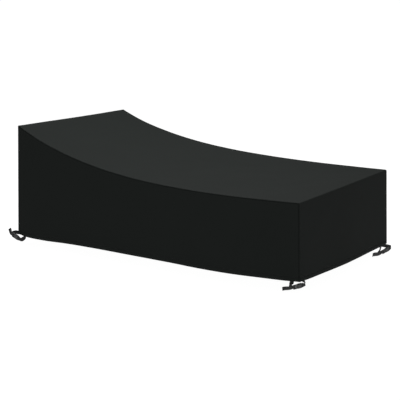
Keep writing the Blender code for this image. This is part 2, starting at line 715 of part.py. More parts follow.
# ---------------------------------------------------------------- build

body_strip()
side_panel("right")
side_panel("left")

socket = socket_mesh()
plug = plug_mesh()
for mesh in (socket, plug):
    mesh.materials.clear()
    mesh.materials.append(None)
    for vertex in mesh.vertices:
        vertex.co.x *= SHORTEN
    mesh.shade_smooth()
    mesh.set_sharp_from_angle(angle=radians(40))

for (end, side), row in SETS.items():
    buckle = strap_set(end, side, row)
    for kind, mesh in (("socket", socket), ("plug", plug)):
        obj = place("buckle_" + kind + "_" + end + "_" + side, mesh, PLASTIC_COLOUR, 0.45)
        obj.matrix_world = Matrix.Translation(Vector(ORIGIN_SHIFT)) @ buckle.matrix()
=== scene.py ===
import bpy
import bmesh
import numpy as np
from math import cos, pi, radians, sin
from mathutils import Matrix, Vector


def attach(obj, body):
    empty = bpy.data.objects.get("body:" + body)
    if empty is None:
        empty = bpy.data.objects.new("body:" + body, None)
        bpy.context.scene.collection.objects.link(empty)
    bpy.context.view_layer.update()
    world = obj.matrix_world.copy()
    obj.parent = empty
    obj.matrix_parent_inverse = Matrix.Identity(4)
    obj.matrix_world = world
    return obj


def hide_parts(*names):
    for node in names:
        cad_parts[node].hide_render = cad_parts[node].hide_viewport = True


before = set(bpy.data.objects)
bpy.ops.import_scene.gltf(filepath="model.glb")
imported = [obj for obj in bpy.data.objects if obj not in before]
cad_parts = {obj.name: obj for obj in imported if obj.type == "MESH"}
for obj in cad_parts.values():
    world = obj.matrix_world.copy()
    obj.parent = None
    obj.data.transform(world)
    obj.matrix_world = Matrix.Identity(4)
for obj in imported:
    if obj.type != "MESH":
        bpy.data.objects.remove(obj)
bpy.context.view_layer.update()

# ---------------------------------------------------------------- driving sizes
LENGTH = 2.000            # top, from the head edge to the foot edge
WIDTH_HEAD = 1.072        # top, across the head edge
WIDTH_FOOT = 1.087        # top, across the foot edge
HEM_Z = 0.0658            # level of the hem above the lowest strap
ORIGIN_SHIFT = (0.0225, 0.0111, 0.0)   # from the middle of the top to the origin of the frame

CLOTH = 0.0015            # one layer of coated cloth
HEM_BAND = 0.028          # height of the turned-up hem
HEM_THICK = 0.0024        # the hem, with its turned-up layer
GAP = 0.00034             # air between two sewn pieces
FOLD_RADIUS = 0.009       # soft fold from the top to the two ends
TOP_SAG = 0.004           # the top dips this much between its two long edges

WEB_WIDTH = 0.025         # webbing
WEB_THICK = 0.0014
TAB = 0.024               # length of webbing sewn behind the hem
TAB_AIR = 0.0009          # air between the sewn webbing and the hem
WEB_STEP = 0.0025         # spacing of the sections where it twists
SEWN_BACK = 0.010         # length of webbing turned back past the socket's bar and sewn to itself

# Top edges: height above the hem level at each distance from the head edge.
TOP_EDGE = [
    dict(x=0.00, right=0.6990, left=0.6712),
    dict(x=0.15, right=0.6307, left=0.6125),
    dict(x=0.35, right=0.5637, left=0.5577),
    dict(x=0.60, right=0.5048, left=0.5108),
    dict(x=0.90, right=0.4633, left=0.4785),
    dict(x=1.20, right=0.4446, left=0.4630),
    dict(x=1.50, right=0.4406, left=0.4568),
    dict(x=1.75, right=0.4456, left=0.4572),
    dict(x=2.00, right=0.4543, left=0.4599),
]

# Hem corners: how far each flares out past the top corner above it, and how far it is lifted.
HEM_CORNER = {
    ("head", "right"): dict(out_x=0.0216, out_y=0.0063, lift=0.0026),
    ("head", "left"): dict(out_x=0.0190, out_y=0.0080, lift=0.0060),
    ("foot", "right"): dict(out_x=0.0149, out_y=0.0063, lift=0.0198),
    ("foot", "left"): dict(out_x=0.0149, out_y=0.0063, lift=-0.0003),
}

# Hems between their corners: how far the slack cloth stands out and hangs down there.
HEM = {
    "right": [
        dict(share=0.000, out=0.000, drop=0.0000),
        dict(share=0.025, out=0.006, drop=0.0065),
        dict(share=0.100, out=0.014, drop=0.0104),
        dict(share=0.200, out=0.013, drop=0.0057),
        dict(share=0.310, out=0.015, drop=0.0044),
        dict(share=0.450, out=0.018, drop=0.0073),
        dict(share=0.580, out=0.022, drop=0.0097),
        dict(share=0.720, out=0.026, drop=0.0137),
        dict(share=0.800, out=0.024, drop=0.0124),
        dict(share=0.885, out=0.015, drop=0.0079),
        dict(share=0.960, out=0.006, drop=0.0035),
        dict(share=1.000, out=0.000, drop=0.0000),
    ],
    "left": [
        dict(share=0.00, out=0.000, drop=0.0000),
        dict(share=0.08, out=0.008, drop=0.0050),
        dict(share=0.24, out=0.017, drop=0.0090),
        dict(share=0.41, out=0.014, drop=0.0060),
        dict(share=0.58, out=0.020, drop=0.0105),
        dict(share=0.76, out=0.023, drop=0.0120),
        dict(share=0.91, out=0.010, drop=0.0050),
        dict(share=1.00, out=0.000, drop=0.0000),
    ],
    "foot": [
        dict(share=0.00, out=0.000, drop=0.0000),
        dict(share=0.10, out=0.004, drop=0.0033),
        dict(share=0.22, out=0.007, drop=0.0051),
        dict(share=0.35, out=0.010, drop=0.0068),
        dict(share=0.48, out=0.012, drop=0.0070),
        dict(share=0.62, out=0.010, drop=0.0060),
        dict(share=0.77, out=0.007, drop=0.0044),
        dict(share=0.88, out=0.004, drop=0.0040),
        dict(share=1.00, out=0.000, drop=0.0000),
    ],
    "head": [
        dict(share=0.00, out=0.000, drop=0.0000),
        dict(share=0.15, out=0.006, drop=0.0040),
        dict(share=0.38, out=0.013, drop=0.0085),
        dict(share=0.60, out=0.011, drop=0.0060),
        dict(share=0.84, out=0.008, drop=0.0050),
        dict(share=1.00, out=0.000, drop=0.0000),
    ],
}

# One buckle at each bottom corner. at_side and at_end: where the two straps leave the hems, measured from the
# corner. x, y, z: middle of the buckle from the hem corner. The long way of the buckle, from its plug to its
# socket, points along azimuth and rise; face is the tilt of its front from upright (90 is face up). hang: how far
# each strap runs below the hem before it turns, and the radius there; turn: the same at the buckle. via: places it passes, each
# with its radius. tail and twist: the free webbing's end, from the end of the plug, and how far it turns about its
# own length.
SETS = {
    ("foot", "right"): dict(plug_on="side", at_side=0.0480, at_end=0.0460, x=-0.0148, y=0.0093, z=-0.0270,
                            azimuth=46, rise=9.9, face=-28, tail=(-0.0380, -0.0446, -0.0035), twist=-10,
                            plug_hang=(0.0072, 0.0122), plug_turn=(0.0209, 0.0130),
                            socket_hang=(0.006, 0.006), socket_turn=(0.0115, 0.0110)),
    ("foot", "left"): dict(plug_on="end", at_side=0.0500, at_end=0.0867, x=0.0073, y=-0.0299, z=-0.0366,
                           azimuth=54, rise=22.1, face=-24, tail=(-0.0180, -0.0860, 0.0009), twist=-3,
                           plug_hang=(0.0110, 0.0090), plug_turn=(0.0274, 0.0214),
                           socket_hang=(0.0138, 0.0134), socket_turn=(0.0120, 0.0110)),
    ("head", "right"): dict(plug_on="end", at_side=0.0560, at_end=0.0460, x=-0.0100, y=-0.0120, z=-0.0155,
                            azimuth=4, rise=-22, face=-12, tail=(-0.019, -0.001, 0.034), twist=-12,
                            plug_hang=(0.008, 0.005), plug_turn=(0.0110, 0.0100),
                            plug_via=[(-0.052, 0.036, -0.002, 0.012)],
                            socket_hang=(0.010, 0.014), socket_turn=(0.0140, 0.0160)),
    ("head", "left"): dict(plug_on="side", at_side=0.0530, at_end=0.0530, x=0.0280, y=-0.0240, z=-0.0295,
                           azimuth=226, rise=3, face=-90, tail=(0.034, 0.038, -0.010), twist=-15,
                           plug_hang=(0.006, 0.006), plug_turn=(0.0070, 0.0065),
                           socket_hang=(0.006, 0.006), socket_turn=(0.0115, 0.0110)),
}

# Side-release buckle for 25 mm webbing. l: along the webbing, v: across it, n: towards its front.
SOCKET_LENGTH = 0.0313
SOCKET_WIDTH = 0.0335
SOCKET_THICK = 0.0104
PLUG_REACH = 0.0226       # the plug's ladder, outside the socket's mouth
SHORTEN = 0.87            # both halves are drawn at 62 mm over all, and brought to 54 mm along the webbing

# ---------------------------------------------------------------- small tools


def through(rows, key, column, at):
    """A smooth line through one column of a table (cubic, with slopes taken from the neighbouring rows)."""
    x = np.array([row[key] for row in rows], float)
    y = np.array([row[column] for row in rows], float)
    step = np.diff(x)
    rise = np.diff(y) / step
    slope = np.empty_like(y)
    slope[1:-1] = (rise[:-1] * step[1:] + rise[1:] * step[:-1]) / (step[:-1] + step[1:])
    slope[0] = 1.5 * rise[0] - 0.5 * slope[1]
    slope[-1] = 1.5 * rise[-1] - 0.5 * slope[-2]
    at = np.clip(np.asarray(at, float), x[0], x[-1])
    i = np.clip(np.searchsorted(x, at, side="right") - 1, 0, len(x) - 2)
    t = (at - x[i]) / step[i]
    return ((2 * t ** 3 - 3 * t ** 2 + 1) * y[i] + (t ** 3 - 2 * t ** 2 + t) * step[i] * slope[i]
            + (3 * t ** 2 - 2 * t ** 3) * y[i + 1] + (t ** 3 - t ** 2) * step[i] * slope[i + 1])


def unit(v):
    v = np.asarray(v, float)
    return v / np.linalg.norm(v)


def mix(a, b, t):
    return np.asarray(a, float) * (1 - t) + np.asarray(b, float) * t


def ease(t):
    return t * t * (3 - 2 * t)


SIDE_SIGN = {"right": -1.0, "left": 1.0}
END_SIGN = {"head": -1.0, "foot": 1.0}

# ---------------------------------------------------------------- the cloth's lines


def top_height(x, across):
    """Height of the top. x from the head edge, across 0 at the right edge and 1 at the left one."""
    right = through(TOP_EDGE, "x", "right", x)
    left = through(TOP_EDGE, "x", "left", x)
    taper = np.clip(x / 0.25, 0, 1) * np.clip((LENGTH - x) / 0.25, 0, 1)
    return HEM_Z + right * (1 - across) + left * across - TOP_SAG * sin(pi * across) * (0.35 + 0.65 * taper)


def top_y(x, across):
    half = mix(WIDTH_HEAD, WIDTH_FOOT, x / LENGTH) / 2
    return -half + 2 * half * across


def top_point(x, across):
    return np.array([x - LENGTH / 2, top_y(x, across), top_height(x, across)])


def top_corner(end, side):
    return top_point(0.0 if end == "head" else LENGTH, 0.0 if side == "right" else 1.0)


def hem_corner(end, side):
    c = HEM_CORNER[(end, side)]
    top = top_corner(end, side)
    return np.array([top[0] + END_SIGN[end] * c["out_x"], top[1] + SIDE_SIGN[side] * c["out_y"], HEM_Z + c["lift"]])


def hem_point(panel, share):
    """The hem's lower edge. share runs head to foot on a side panel, and right to left on an end."""
    out = through(HEM[panel], "share", "out", share)
    drop = through(HEM[panel], "share", "drop", share)
    if panel in SIDE_SIGN:
        p = mix(hem_corner("head", panel), hem_corner("foot", panel), share)
        return p + np.array([0, SIDE_SIGN[panel] * out, -drop])
    p = mix(hem_corner(panel, "right"), hem_corner(panel, "left"), share)
    return p + np.array([END_SIGN[panel] * out, 0, -drop])

# ---------------------------------------------------------------- fine cloth

SHIFT = np.array(ORIGIN_SHIFT)
ROLL = 0.0030             # the strip's edge is rolled over the seam on this radius
TURN = 0.0009             # radius on which the cloth turns into the seam
PANEL_TURN = 0.0011       # the same on the side panels
SEAM_AIR = 0.0003
CLOTH_FINE = 0.0011
HEM_FINE = 0.0022
STITCH_LINE = 0.0255      # height of the hem's stitching above its edge
TOPSTITCH = 0.0105        # the seam's stitching, from the strip's edge


def lattice(ix, iy, seed):
    v = np.sin(ix * 127.1 + iy * 311.7 + seed * 74.7) * 43758.5453
    return v - np.floor(v)


def ripple(x, y, seed):
    """Smooth unevenness between -1 and 1."""
    ix, iy = np.floor(x), np.floor(y)
    fx, fy = x - ix, y - iy
    fx, fy = fx ** 3 * (fx * (6 * fx - 15) + 10), fy ** 3 * (fy * (6 * fy - 15) + 10)
    a, b = lattice(ix, iy, seed), lattice(ix + 1, iy, seed)
    c, d = lattice(ix, iy + 1, seed), lattice(ix + 1, iy + 1, seed)
    return ((a * (1 - fx) + b * fx) * (1 - fy) + (c * (1 - fx) + d * fx) * fy) * 2 - 1


def normals_of(grid):
    du = np.gradient(grid, axis=0)
    dv = np.gradient(grid, axis=1)
    n = np.cross(du, dv)
    return n / np.maximum(np.linalg.norm(n, axis=2, keepdims=True), 1e-12)


def closed_sheet(name, outer, inner, uv):
    """A closed cloth panel between two grids of points, with a layer of cloth coordinates in metres."""
    rows, cols = outer.shape[:2]
    count = rows * cols
    verts = np.vstack([outer.reshape(-1, 3), inner.reshape(-1, 3)]) + SHIFT
    index = np.arange(count).reshape(rows, cols)
    a, b, c, d = index[:-1, :-1], index[1:, :-1], index[1:, 1:], index[:-1, 1:]
    front = np.stack([a, b, c, d], -1).reshape(-1, 4)
    back = front[:, ::-1] + count
    ring = np.concatenate([index[:, 0], index[-1, 1:], index[-2::-1, -1], index[0, -2:0:-1]])
    after = np.roll(ring, -1)
    side = np.stack([after, ring, ring + count, after + count], -1)
    faces = np.vstack([front, back, side])
    mesh = bpy.data.meshes.new(name)
    mesh.vertices.add(len(verts))
    mesh.vertices.foreach_set("co", verts.ravel())
    mesh.loops.add(faces.size)
    mesh.loops.foreach_set("vertex_index", faces.ravel().astype(np.int32))
    mesh.polygons.add(len(faces))
    mesh.polygons.foreach_set("loop_start", (np.arange(len(faces)) * 4).astype(np.int32))
    mesh.update(calc_edges=True)
    layer = mesh.uv_layers.new(name="cloth")
    flat = np.concatenate([uv.reshape(-1, 2)] * 2)[faces.ravel()]
    layer.data.foreach_set("uv", flat.ravel().astype(np.float32))
    mesh.polygons.foreach_set("use_smooth", np.ones(len(faces), bool))
    mesh.validate()
    bm = bmesh.new()
    bm.from_mesh(mesh)
    if bm.calc_volume(signed=True) < 0:
        bmesh.ops.reverse_faces(bm, faces=bm.faces[:])
        bm.to_mesh(mesh)
    bm.free()
    obj = bpy.data.objects.new(name, mesh)
    bpy.context.scene.collection.objects.link(obj)
    return obj


def heights(x, across):
    right = through(TOP_EDGE, "x", "right", x)
    left = through(TOP_EDGE, "x", "left", x)
    taper = np.clip(x / 0.25, 0, 1) * np.clip((LENGTH - x) / 0.25, 0, 1)
    return (HEM_Z + right * (1 - across) + left * across
            - TOP_SAG * np.sin(pi * across) * (0.35 + 0.65 * taper))


def tops(x, across):
    x, across = np.broadcast_arrays(np.asarray(x, float), np.asarray(across, float))
    half = (WIDTH_HEAD * (1 - x / LENGTH) + WIDTH_FOOT * x / LENGTH) / 2
    return np.stack([x - LENGTH / 2, -half + 2 * half * across, heights(x, across)], -1)


def hems(panel, share):
    share = np.asarray(share, float)
    out = through(HEM[panel], "share", "out", share)
    drop = through(HEM[panel], "share", "drop", share)
    if panel in SIDE_SIGN:
        a, b = hem_corner("head", panel), hem_corner("foot", panel)
        p = a * (1 - share[..., None]) + b * share[..., None]
        p[..., 1] += SIDE_SIGN[panel] * out
    else:
        a, b = hem_corner(panel, "right"), hem_corner(panel, "left")
        p = a * (1 - share[..., None]) + b * share[..., None]
        p[..., 0] += END_SIGN[panel] * out
    p[..., 2] -= drop
    return p


HEM_STEPS = np.array([0, 0.6, 1.4, 2.6, 4.4, 7, 10, 13.5, 17, 20.5, 23, 24.3, 25.1, 25.6, 26.1, 26.9, 28.2, 30.5,
                      34, 39, 46, 56]) * 0.001


def spread(start, finish, step):
    count = max(1, int(round((finish - start) / step)))
    return np.linspace(start, finish, count + 1)


def hem_shape(z, slack):
    """How far the hem's band stands out, from its edge up to its stitching."""
    z = np.asarray(z, float)
    t = np.clip(z / STITCH_LINE, 0, 1)
    band = 0.0024 * np.sin(pi * t ** 1.5)
    groove = -0.0005 * np.exp(-((z - STITCH_LINE) / 0.0011) ** 2)
    edge = -0.0012 * np.exp(-z / 0.0007)
    above = 0.0006 * np.exp(-((z - STITCH_LINE - 0.006) / 0.005) ** 2)
    return np.where(z <= STITCH_LINE, band, 0) + groove + edge + above


def leg_rows(height):
    """Distances up an upright line: close together over the hem, then even."""
    return np.concatenate([HEM_STEPS, spread(HEM_STEPS[-1], height, 0.013)[1:]])


def strip_rows(across):
    """The strip's outer face. Rows run from the head hem over the top to the foot hem, columns across."""
    across = np.asarray(across, float)
    rows, kind, run = [], [], []
    parts = {}
    for end in ("head", "foot"):
        x = 0.0 if end == "head" else LENGTH
        corner = tops(x, across)
        low = hems(end, across)
        height = np.linalg.norm(corner - low, axis=1)
        start = corner + (low - corner) * (FOLD_RADIUS / height)[:, None]
        slack = through(HEM[end], "share", "out", across)
        steps = leg_rows(0.5 * (top_corner(end, "right")[2] + top_corner(end, "left")[2]) - HEM_Z)
        leg = []
        for z in steps:
            h = z / steps[-1]
            p = low * (1 - h) + start * h
            p[:, 0] -= END_SIGN[end] * slack * 0.35 * sin(pi * h) * (1 - h)
            leg.append(p)
        parts[end] = (leg, steps, start, corner)
    xs = spread(FOLD_RADIUS, LENGTH - FOLD_RADIUS, 0.013)
    top = [tops(x, across) for x in xs]

    def folded(a, c, b, n=7):
        return [(1 - t) ** 2 * a + 2 * t * (1 - t) * c + t * t * b for t in np.arange(1, n + 1) / (n + 1)]

    head, hz, hs, hc = parts["head"]
    foot, fz, fs, fc = parts["foot"]
    grid = head + folded(hs, hc, top[0]) + top + folded(top[-1], fc, fs) + foot[::-1]
    n_head, n_foot = len(head), len(foot)
    return np.array(grid), n_head, n_foot, hz, fz


def leg_share(grid):
    """Distance along the strip at every point."""
    step = np.linalg.norm(np.diff(grid, axis=0), axis=2)
    return np.vstack([np.zeros((1, grid.shape[1])), np.cumsum(step, axis=0)])


def seam_puckers(q, run, seed):
    """Small puckers that the stitching draws in the cloth beside a seam, q away from it."""
    wave = ripple(run / 0.017, run * 0 + seed, seed) * 0.6 + ripple(run / 0.041, run * 0 + 3 + seed, seed + 5) * 0.7
    return 0.00045 * wave * np.exp(-np.abs(q) / 0.022) * (1 - np.exp(-np.abs(q) / 0.003))


EDGE_STEPS = np.array([0, 1.6, 3.2, 4.8, 6.2, 7.0, 7.6, 8.4, 10.5, 13, 16, 20, 26, 34, 44, 56]) * 0.001


def body_strip_fine():
    width = (WIDTH_HEAD + WIDTH_FOOT) / 2
    q = ROLL + EDGE_STEPS
    inner_q = spread(q[-1], width - q[-1], 0.0135)[1:-1]
    across = np.concatenate([q, inner_q, (width - q)[::-1]]) / width
    flat, n_head, n_foot, hz, fz = strip_rows(across)
    run = leg_share(flat)
    total = run[-1].mean()
    edge_r, _, _, _, _ = strip_rows(np.array([0.0, 0.004, 0.996, 1.0]))
    n = normals_of(flat)
    if n[len(n) // 2, len(across) // 2, 2] < 0:
        n = -n
    rows, cols = flat.shape[:2]
    dist = np.minimum(across, 1 - across) * width
    dist = np.broadcast_to(dist, (rows, cols))
    v = np.broadcast_to(across * width, (rows, cols))
    hem_z = np.full((rows, cols), 1.0)
    hem_z[:n_head] = hz[:, None]
    hem_z[rows - n_foot:] = fz[::-1][:, None]
    move = np.zeros((rows, cols))
    # soft unevenness of a taut cloth
    calm = np.clip(dist / 0.10, 0, 1)
    move += 0.0016 * ripple(run / 0.34, v / 0.30, 3) * calm
    move += 0.0006 * ripple(run / 0.11 + 9, v / 0.13, 11) * calm
    # the seam: allowance under the cloth, stitching, puckers
    away = dist
    move += 0.00045 * np.exp(-((away - 0.0075) / 0.0030) ** 4)
    move += 0.0005 * np.exp(-((away - 0.0130) / 0.0028) ** 4)
    move -= 0.0006 * np.exp(-((away - TOPSTITCH) / 0.0012) ** 2)
    move += np.where(v < width / 2, seam_puckers(away - TOPSTITCH, run, 2), seam_puckers(away - TOPSTITCH, run, 7))
    # hems
    near_hem = hem_z < 0.2
    move += np.where(near_hem, hem_shape(np.minimum(hem_z, 0.2), 0) * np.clip((away - 0.004) / 0.010, 0.15, 1), 0)
    pull = ripple(v / 0.012, v * 0 + 1, 21) * 0.6 + ripple(v / 0.031, v * 0 + 4, 22) * 0.6
    move += np.where(near_hem, 0.0006 * pull * np.exp(-np.abs(hem_z - STITCH_LINE) / 0.012), 0)
    grid = flat + n * move[..., None]
    # edge columns rolled over the seam
    left, right = [], []
    for column, edge, near in ((0, 0, 1), (-1, 3, 2)):
        e = edge_r[:, edge]
        inward = edge_r[:, near] - e
        inward /= np.linalg.norm(inward, axis=1)[:, None]
        along = np.gradient(e, axis=0)
        along /= np.linalg.norm(along, axis=1)[:, None]
        out = np.cross(along, inward)
        out *= np.sign((out * n[:, column]).sum(1))[:, None]
        # the fold is tight, so the roll is smoothed along the strip there
        for sweep in range(6):
            out[1:-1] = out[:-2] + 2 * out[1:-1] + out[2:]
            out /= np.linalg.norm(out, axis=1)[:, None]
        centre = e + (inward - out) * ROLL
        lift = (move[:, column] * 0.6)[:, None]
        made = []
        for angle in np.radians([12, 26, 40, 54, 67, 79, 90]):
            made.append(centre + (ROLL + lift * np.cos(angle)) * (out * cos(angle) - inward * sin(angle)))
        c2 = e - out * ROLL + inward * TURN
        for angle in np.radians([30, 60, 90]):
            made.append(c2 + TURN * (-inward * cos(angle) - out * sin(angle)))
        # the allowance goes in past the side panel's and folds over behind it
        made.append(made[-1] + inward * 0.005)
        made.append(made[-1] + inward * 0.0006 - out * 0.0006)
        made.append(made[-1] - out * 0.003)
        (left if column == 0 else right).extend(made)
    grid = np.concatenate([np.stack(left[::-1], 1), grid, np.stack(right, 1)], axis=1)
    m = normals_of(grid)
    if m[len(m) // 2, m.shape[1] // 2, 2] < 0:
        m = -m
    extra = len(left)
    thick = np.full(grid.shape[:2], CLOTH_FINE)
    tz = np.concatenate([hem_z[:, :1].repeat(extra, 1), hem_z, hem_z[:, -1:].repeat(extra, 1)], axis=1)
    thick = np.where(tz < 0.0275, HEM_FINE, thick)
    thick[:, :extra] = thick[:, -extra:] = 0.0006
    inner = grid - m * thick[..., None]
    uv_v = np.concatenate([v[:, :1] - np.arange(extra, 0, -1) * 0.0012, v, v[:, -1:] + np.arange(1, extra + 1) * 0.0012], 1)
    uv_u = np.concatenate([run[:, :1].repeat(extra, 1), run, run[:, -1:].repeat(extra, 1)], 1)
    obj = closed_sheet("cover_strip", grid, inner, np.stack([uv_u, uv_v], -1))
    seams = {}
    for side, column in (("right", np.argmin(np.abs(dist[0, :cols // 2] - TOPSTITCH))),
                     ("left", cols - 1 - np.argmin(np.abs(dist[0, :cols // 2] - TOPSTITCH)))):
        seams[side] = (grid[:, column + extra], m[:, column + extra])
    lines = []
    for z_list, at in ((hz, lambda k: k), (fz, lambda k: rows - 1 - k)):
        k = int(np.argmin(np.abs(z_list - STITCH_LINE)))
        row = at(k)
        lines.append((grid[row, extra + 3:-extra - 3], m[row, extra + 3:-extra - 3]))
    return obj, total, width, seams, lines


def side_panel_fine(side):
    sign = SIDE_SIGN[side]
    across = 0.0 if side == "right" else 1.0
    inset = ROLL + TURN + SEAM_AIR + PANEL_TURN
    near = np.array([0, 0.35, 0.8, 1.6, 2.4, 3.4, 5, 7, 9.5, 13, 18, 26, 38]) * 0.001
    span = LENGTH + 0.03 - 2 * inset
    share = np.concatenate([near, spread(near[-1], span - near[-1], 0.0135)[1:-1], (span - near)[::-1]]) / span
    xt = inset + share * (LENGTH - 2 * inset)
    rise = 0.004
    slope = (heights(np.clip(xt + rise, 0, LENGTH), across) - heights(np.clip(xt - rise, 0, LENGTH), across)) / (
        np.clip(xt + rise, 0, LENGTH) - np.clip(xt - rise, 0, LENGTH))
    top = tops(xt, np.full_like(xt, across))
    top[:, 2] -= inset * np.sqrt(1 + slope ** 2)
    low = hems(side, share)
    a, b = hem_corner("head", side), hem_corner("foot", side)
    low[:, 0] = (a[0] + inset) * (1 - share) + (b[0] - inset) * share
    slack = through(HEM[side], "share", "out", share)
    height = np.linalg.norm(top - low, axis=1)
    up_near = near[::-1]
    reach = HEM_STEPS[-1]
    middle = np.linspace(0, 1, 44)[1:-1]
    columns = []
    zs, qs = [], []
    for k in range(len(share)):
        z = np.concatenate([HEM_STEPS, reach + (height[k] - near[-1] - reach) * middle, height[k] - up_near])
        h = z / height[k]
        p = low[k] * (1 - h)[:, None] + top[k] * h[:, None]
        p[:, 1] -= sign * slack[k] * 0.35 * np.sin(pi * h) * (1 - h)
        columns.append(p)
        zs.append(z)
        qs.append(height[k] - z)
    flat = np.array(columns)
    z, q_top = np.array(zs), np.array(qs)
    q_end = np.minimum(share, 1 - share)[:, None] * span + 0 * z
    away = np.minimum(q_top, q_end)
    n = normals_of(flat)
    n *= np.sign(n[len(n) // 2, n.shape[1] // 2, 1]) * sign
    run = (share * span)[:, None] + 0 * z
    calm = np.clip(away / 0.08, 0, 1)
    move = 0.0020 * ripple(run / 0.37 + 3, z / 0.27, 31) * calm
    move += 0.0007 * ripple(run / 0.12 + 7, z / 0.14, 37) * calm
    move += 0.0005 * np.exp(-((away - 0.0065) / 0.0050) ** 4)
    move += seam_puckers(q_top, run, 41) + seam_puckers(q_end, z, 43)
    move += hem_shape(z, 0) * np.clip((q_end - 0.002) / 0.010, 0.1, 1)
    pull = ripple(run / 0.012, run * 0 + 1, 51) * 0.6 + ripple(run / 0.031, run * 0 + 4, 52) * 0.6
    move += 0.0006 * pull * np.exp(-np.abs(z - STITCH_LINE) / 0.012)
    # borders turned into the seam
    turned = np.clip(PANEL_TURN - away, 0, PANEL_TURN)
    move -= PANEL_TURN - np.sqrt(np.maximum(PANEL_TURN ** 2 - turned ** 2, 0))
    grid = flat + n * move[..., None]
    # one more border of cloth inside the seam
    def added(g, nn):
        g2 = np.concatenate([g[:1] - nn[:1] * 0.004, g, g[-1:] - nn[-1:] * 0.004], 0)
        n2 = np.concatenate([nn[:1], nn, nn[-1:]], 0)
        g3 = np.concatenate([g2, g2[:, -1:] - n2[:, -1:] * 0.004], 1)
        g3[0, -1] = g2[0, -1]
        g3[-1, -1] = g2[-1, -1]
        return g3
    full = added(grid, n)
    full[0, -1] = full[0, -2] - np.array([0, 0, 1e-4])
    full[-1, -1] = full[-1, -2] - np.array([0, 0, 1e-4])
    m = normals_of(full)
    m *= np.sign(m[len(m) // 2, m.shape[1] // 2, 1]) * sign
    zz = np.concatenate([z[:1], z, z[-1:]], 0)
    zz = np.concatenate([zz, zz[:, -1:]], 1)
    thick = np.where(zz < 0.0275, HEM_FINE, CLOTH_FINE)
    thick[0] = thick[-1] = 0.0006
    thick[:, -1] = 0.0006
    inner = full - m * thick[..., None]
    uv = np.stack([np.concatenate([run[:1], run, run[-1:]], 0), zz[:, :-1]], -1)
    uv = np.concatenate([uv, uv[:, -1:]], 1)
    obj = closed_sheet("cover_side_" + side, full, inner, uv)
    k = int(np.argmin(np.abs(HEM_STEPS - STITCH_LINE)))
    area = float(np.trapezoid(height, share * span)) if hasattr(np, "trapezoid") else float(np.trapz(height, share * span))
    return obj, float(height.max()), float(span), area, [(grid[4:-4, k], n[4:-4, k])]


# ---------------------------------------------------------------- stitching


def stitches(name, lines, pitch=0.0052, length=0.0036, radius=0.00042, sink=0.00012):
    """Short threads lying on the cloth along the given lines."""
    profile = [(-0.5, 0.0), (-0.42, 0.75), (-0.2, 1.0), (0.2, 1.0), (0.42, 0.75), (0.5, 0.0)]
    ring = 6
    chunks = []
    for points, normal in lines:
        step = np.linalg.norm(np.diff(points, axis=0), axis=1)
        run = np.concatenate([[0], np.cumsum(step)])
        at = np.arange(pitch, run[-1] - pitch, pitch)
        at = at + 0.0002 * ripple(at / 0.013, at * 0, 61)
        p = np.stack([np.interp(at, run, points[:, k]) for k in range(3)], 1)
        a = np.stack([np.interp(at - length / 2, run, points[:, k]) for k in range(3)], 1)
        b = np.stack([np.interp(at + length / 2, run, points[:, k]) for k in range(3)], 1)
        nn = np.stack([np.interp(at, run, normal[:, k]) for k in range(3)], 1)
        nn /= np.linalg.norm(nn, axis=1)[:, None]
        t = b - a
        t /= np.linalg.norm(t, axis=1)[:, None]
        s = np.cross(nn, t)
        s /= np.linalg.norm(s, axis=1)[:, None]
        u = np.cross(t, s)
        tilt = 0.10 * ripple(at / 0.007, at * 0 + 5, 63)
        t2 = t + s * tilt[:, None]
        rows = []
        for pos, fat in profile:
            centre = p + t2 * (pos * length) + u * (radius * 0.35 - sink)
            if fat == 0.0:
                rows.append(centre[:, None])
            else:
                angles = np.arange(ring) * 2 * pi / ring
                rows.append(centre[:, None] + (s[:, None] * np.cos(angles)[None, :, None]
                                              + u[:, None] * np.sin(angles)[None, :, None] * 0.8) * radius * fat)
        chunk = np.concatenate(rows, 1)
        chunks.append(chunk)
    per = chunks[0].shape[1]
    all_verts = np.concatenate([c.reshape(-1, 3) for c in chunks]) + SHIFT
    count = len(all_verts) // per
    local = []
    for k in range(ring):
        local.append((0, 1 + (k + 1) % ring, 1 + k))
    for r in range(len(profile) - 3):
        a, b = 1 + r * ring, 1 + (r + 1) * ring
        for k in range(ring):
            k2 = (k + 1) % ring
            local.append((a + k, a + k2, b + k2))
            local.append((a + k, b + k2, b + k))
    last = per - 1
    a = 1 + (len(profile) - 3) * ring
    for k in range(ring):
        local.append((last, a + k, a + (k + 1) % ring))
    local = np.array(local)
    faces = (local[None] + (np.arange(count) * per)[:, None, None]).reshape(-1, 3)
    mesh = bpy.data.meshes.new(name)
    mesh.vertices.add(len(all_verts))
    mesh.vertices.foreach_set("co", all_verts.ravel())
    mesh.loops.add(faces.size)
    mesh.loops.foreach_set("vertex_index", faces.ravel().astype(np.int32))
    mesh.polygons.add(len(faces))
    mesh.polygons.foreach_set("loop_start", (np.arange(len(faces)) * 3).astype(np.int32))
    mesh.update(calc_edges=True)
    mesh.polygons.foreach_set("use_smooth", np.ones(len(faces), bool))
    bm = bmesh.new()
    bm.from_mesh(mesh)
    bmesh.ops.recalc_face_normals(bm, faces=bm.faces[:])
    bm.to_mesh(mesh)
    bm.free()
    obj = bpy.data.objects.new(name, mesh)
    bpy.context.scene.collection.objects.link(obj)
    return obj

# ---------------------------------------------------------------- webbing


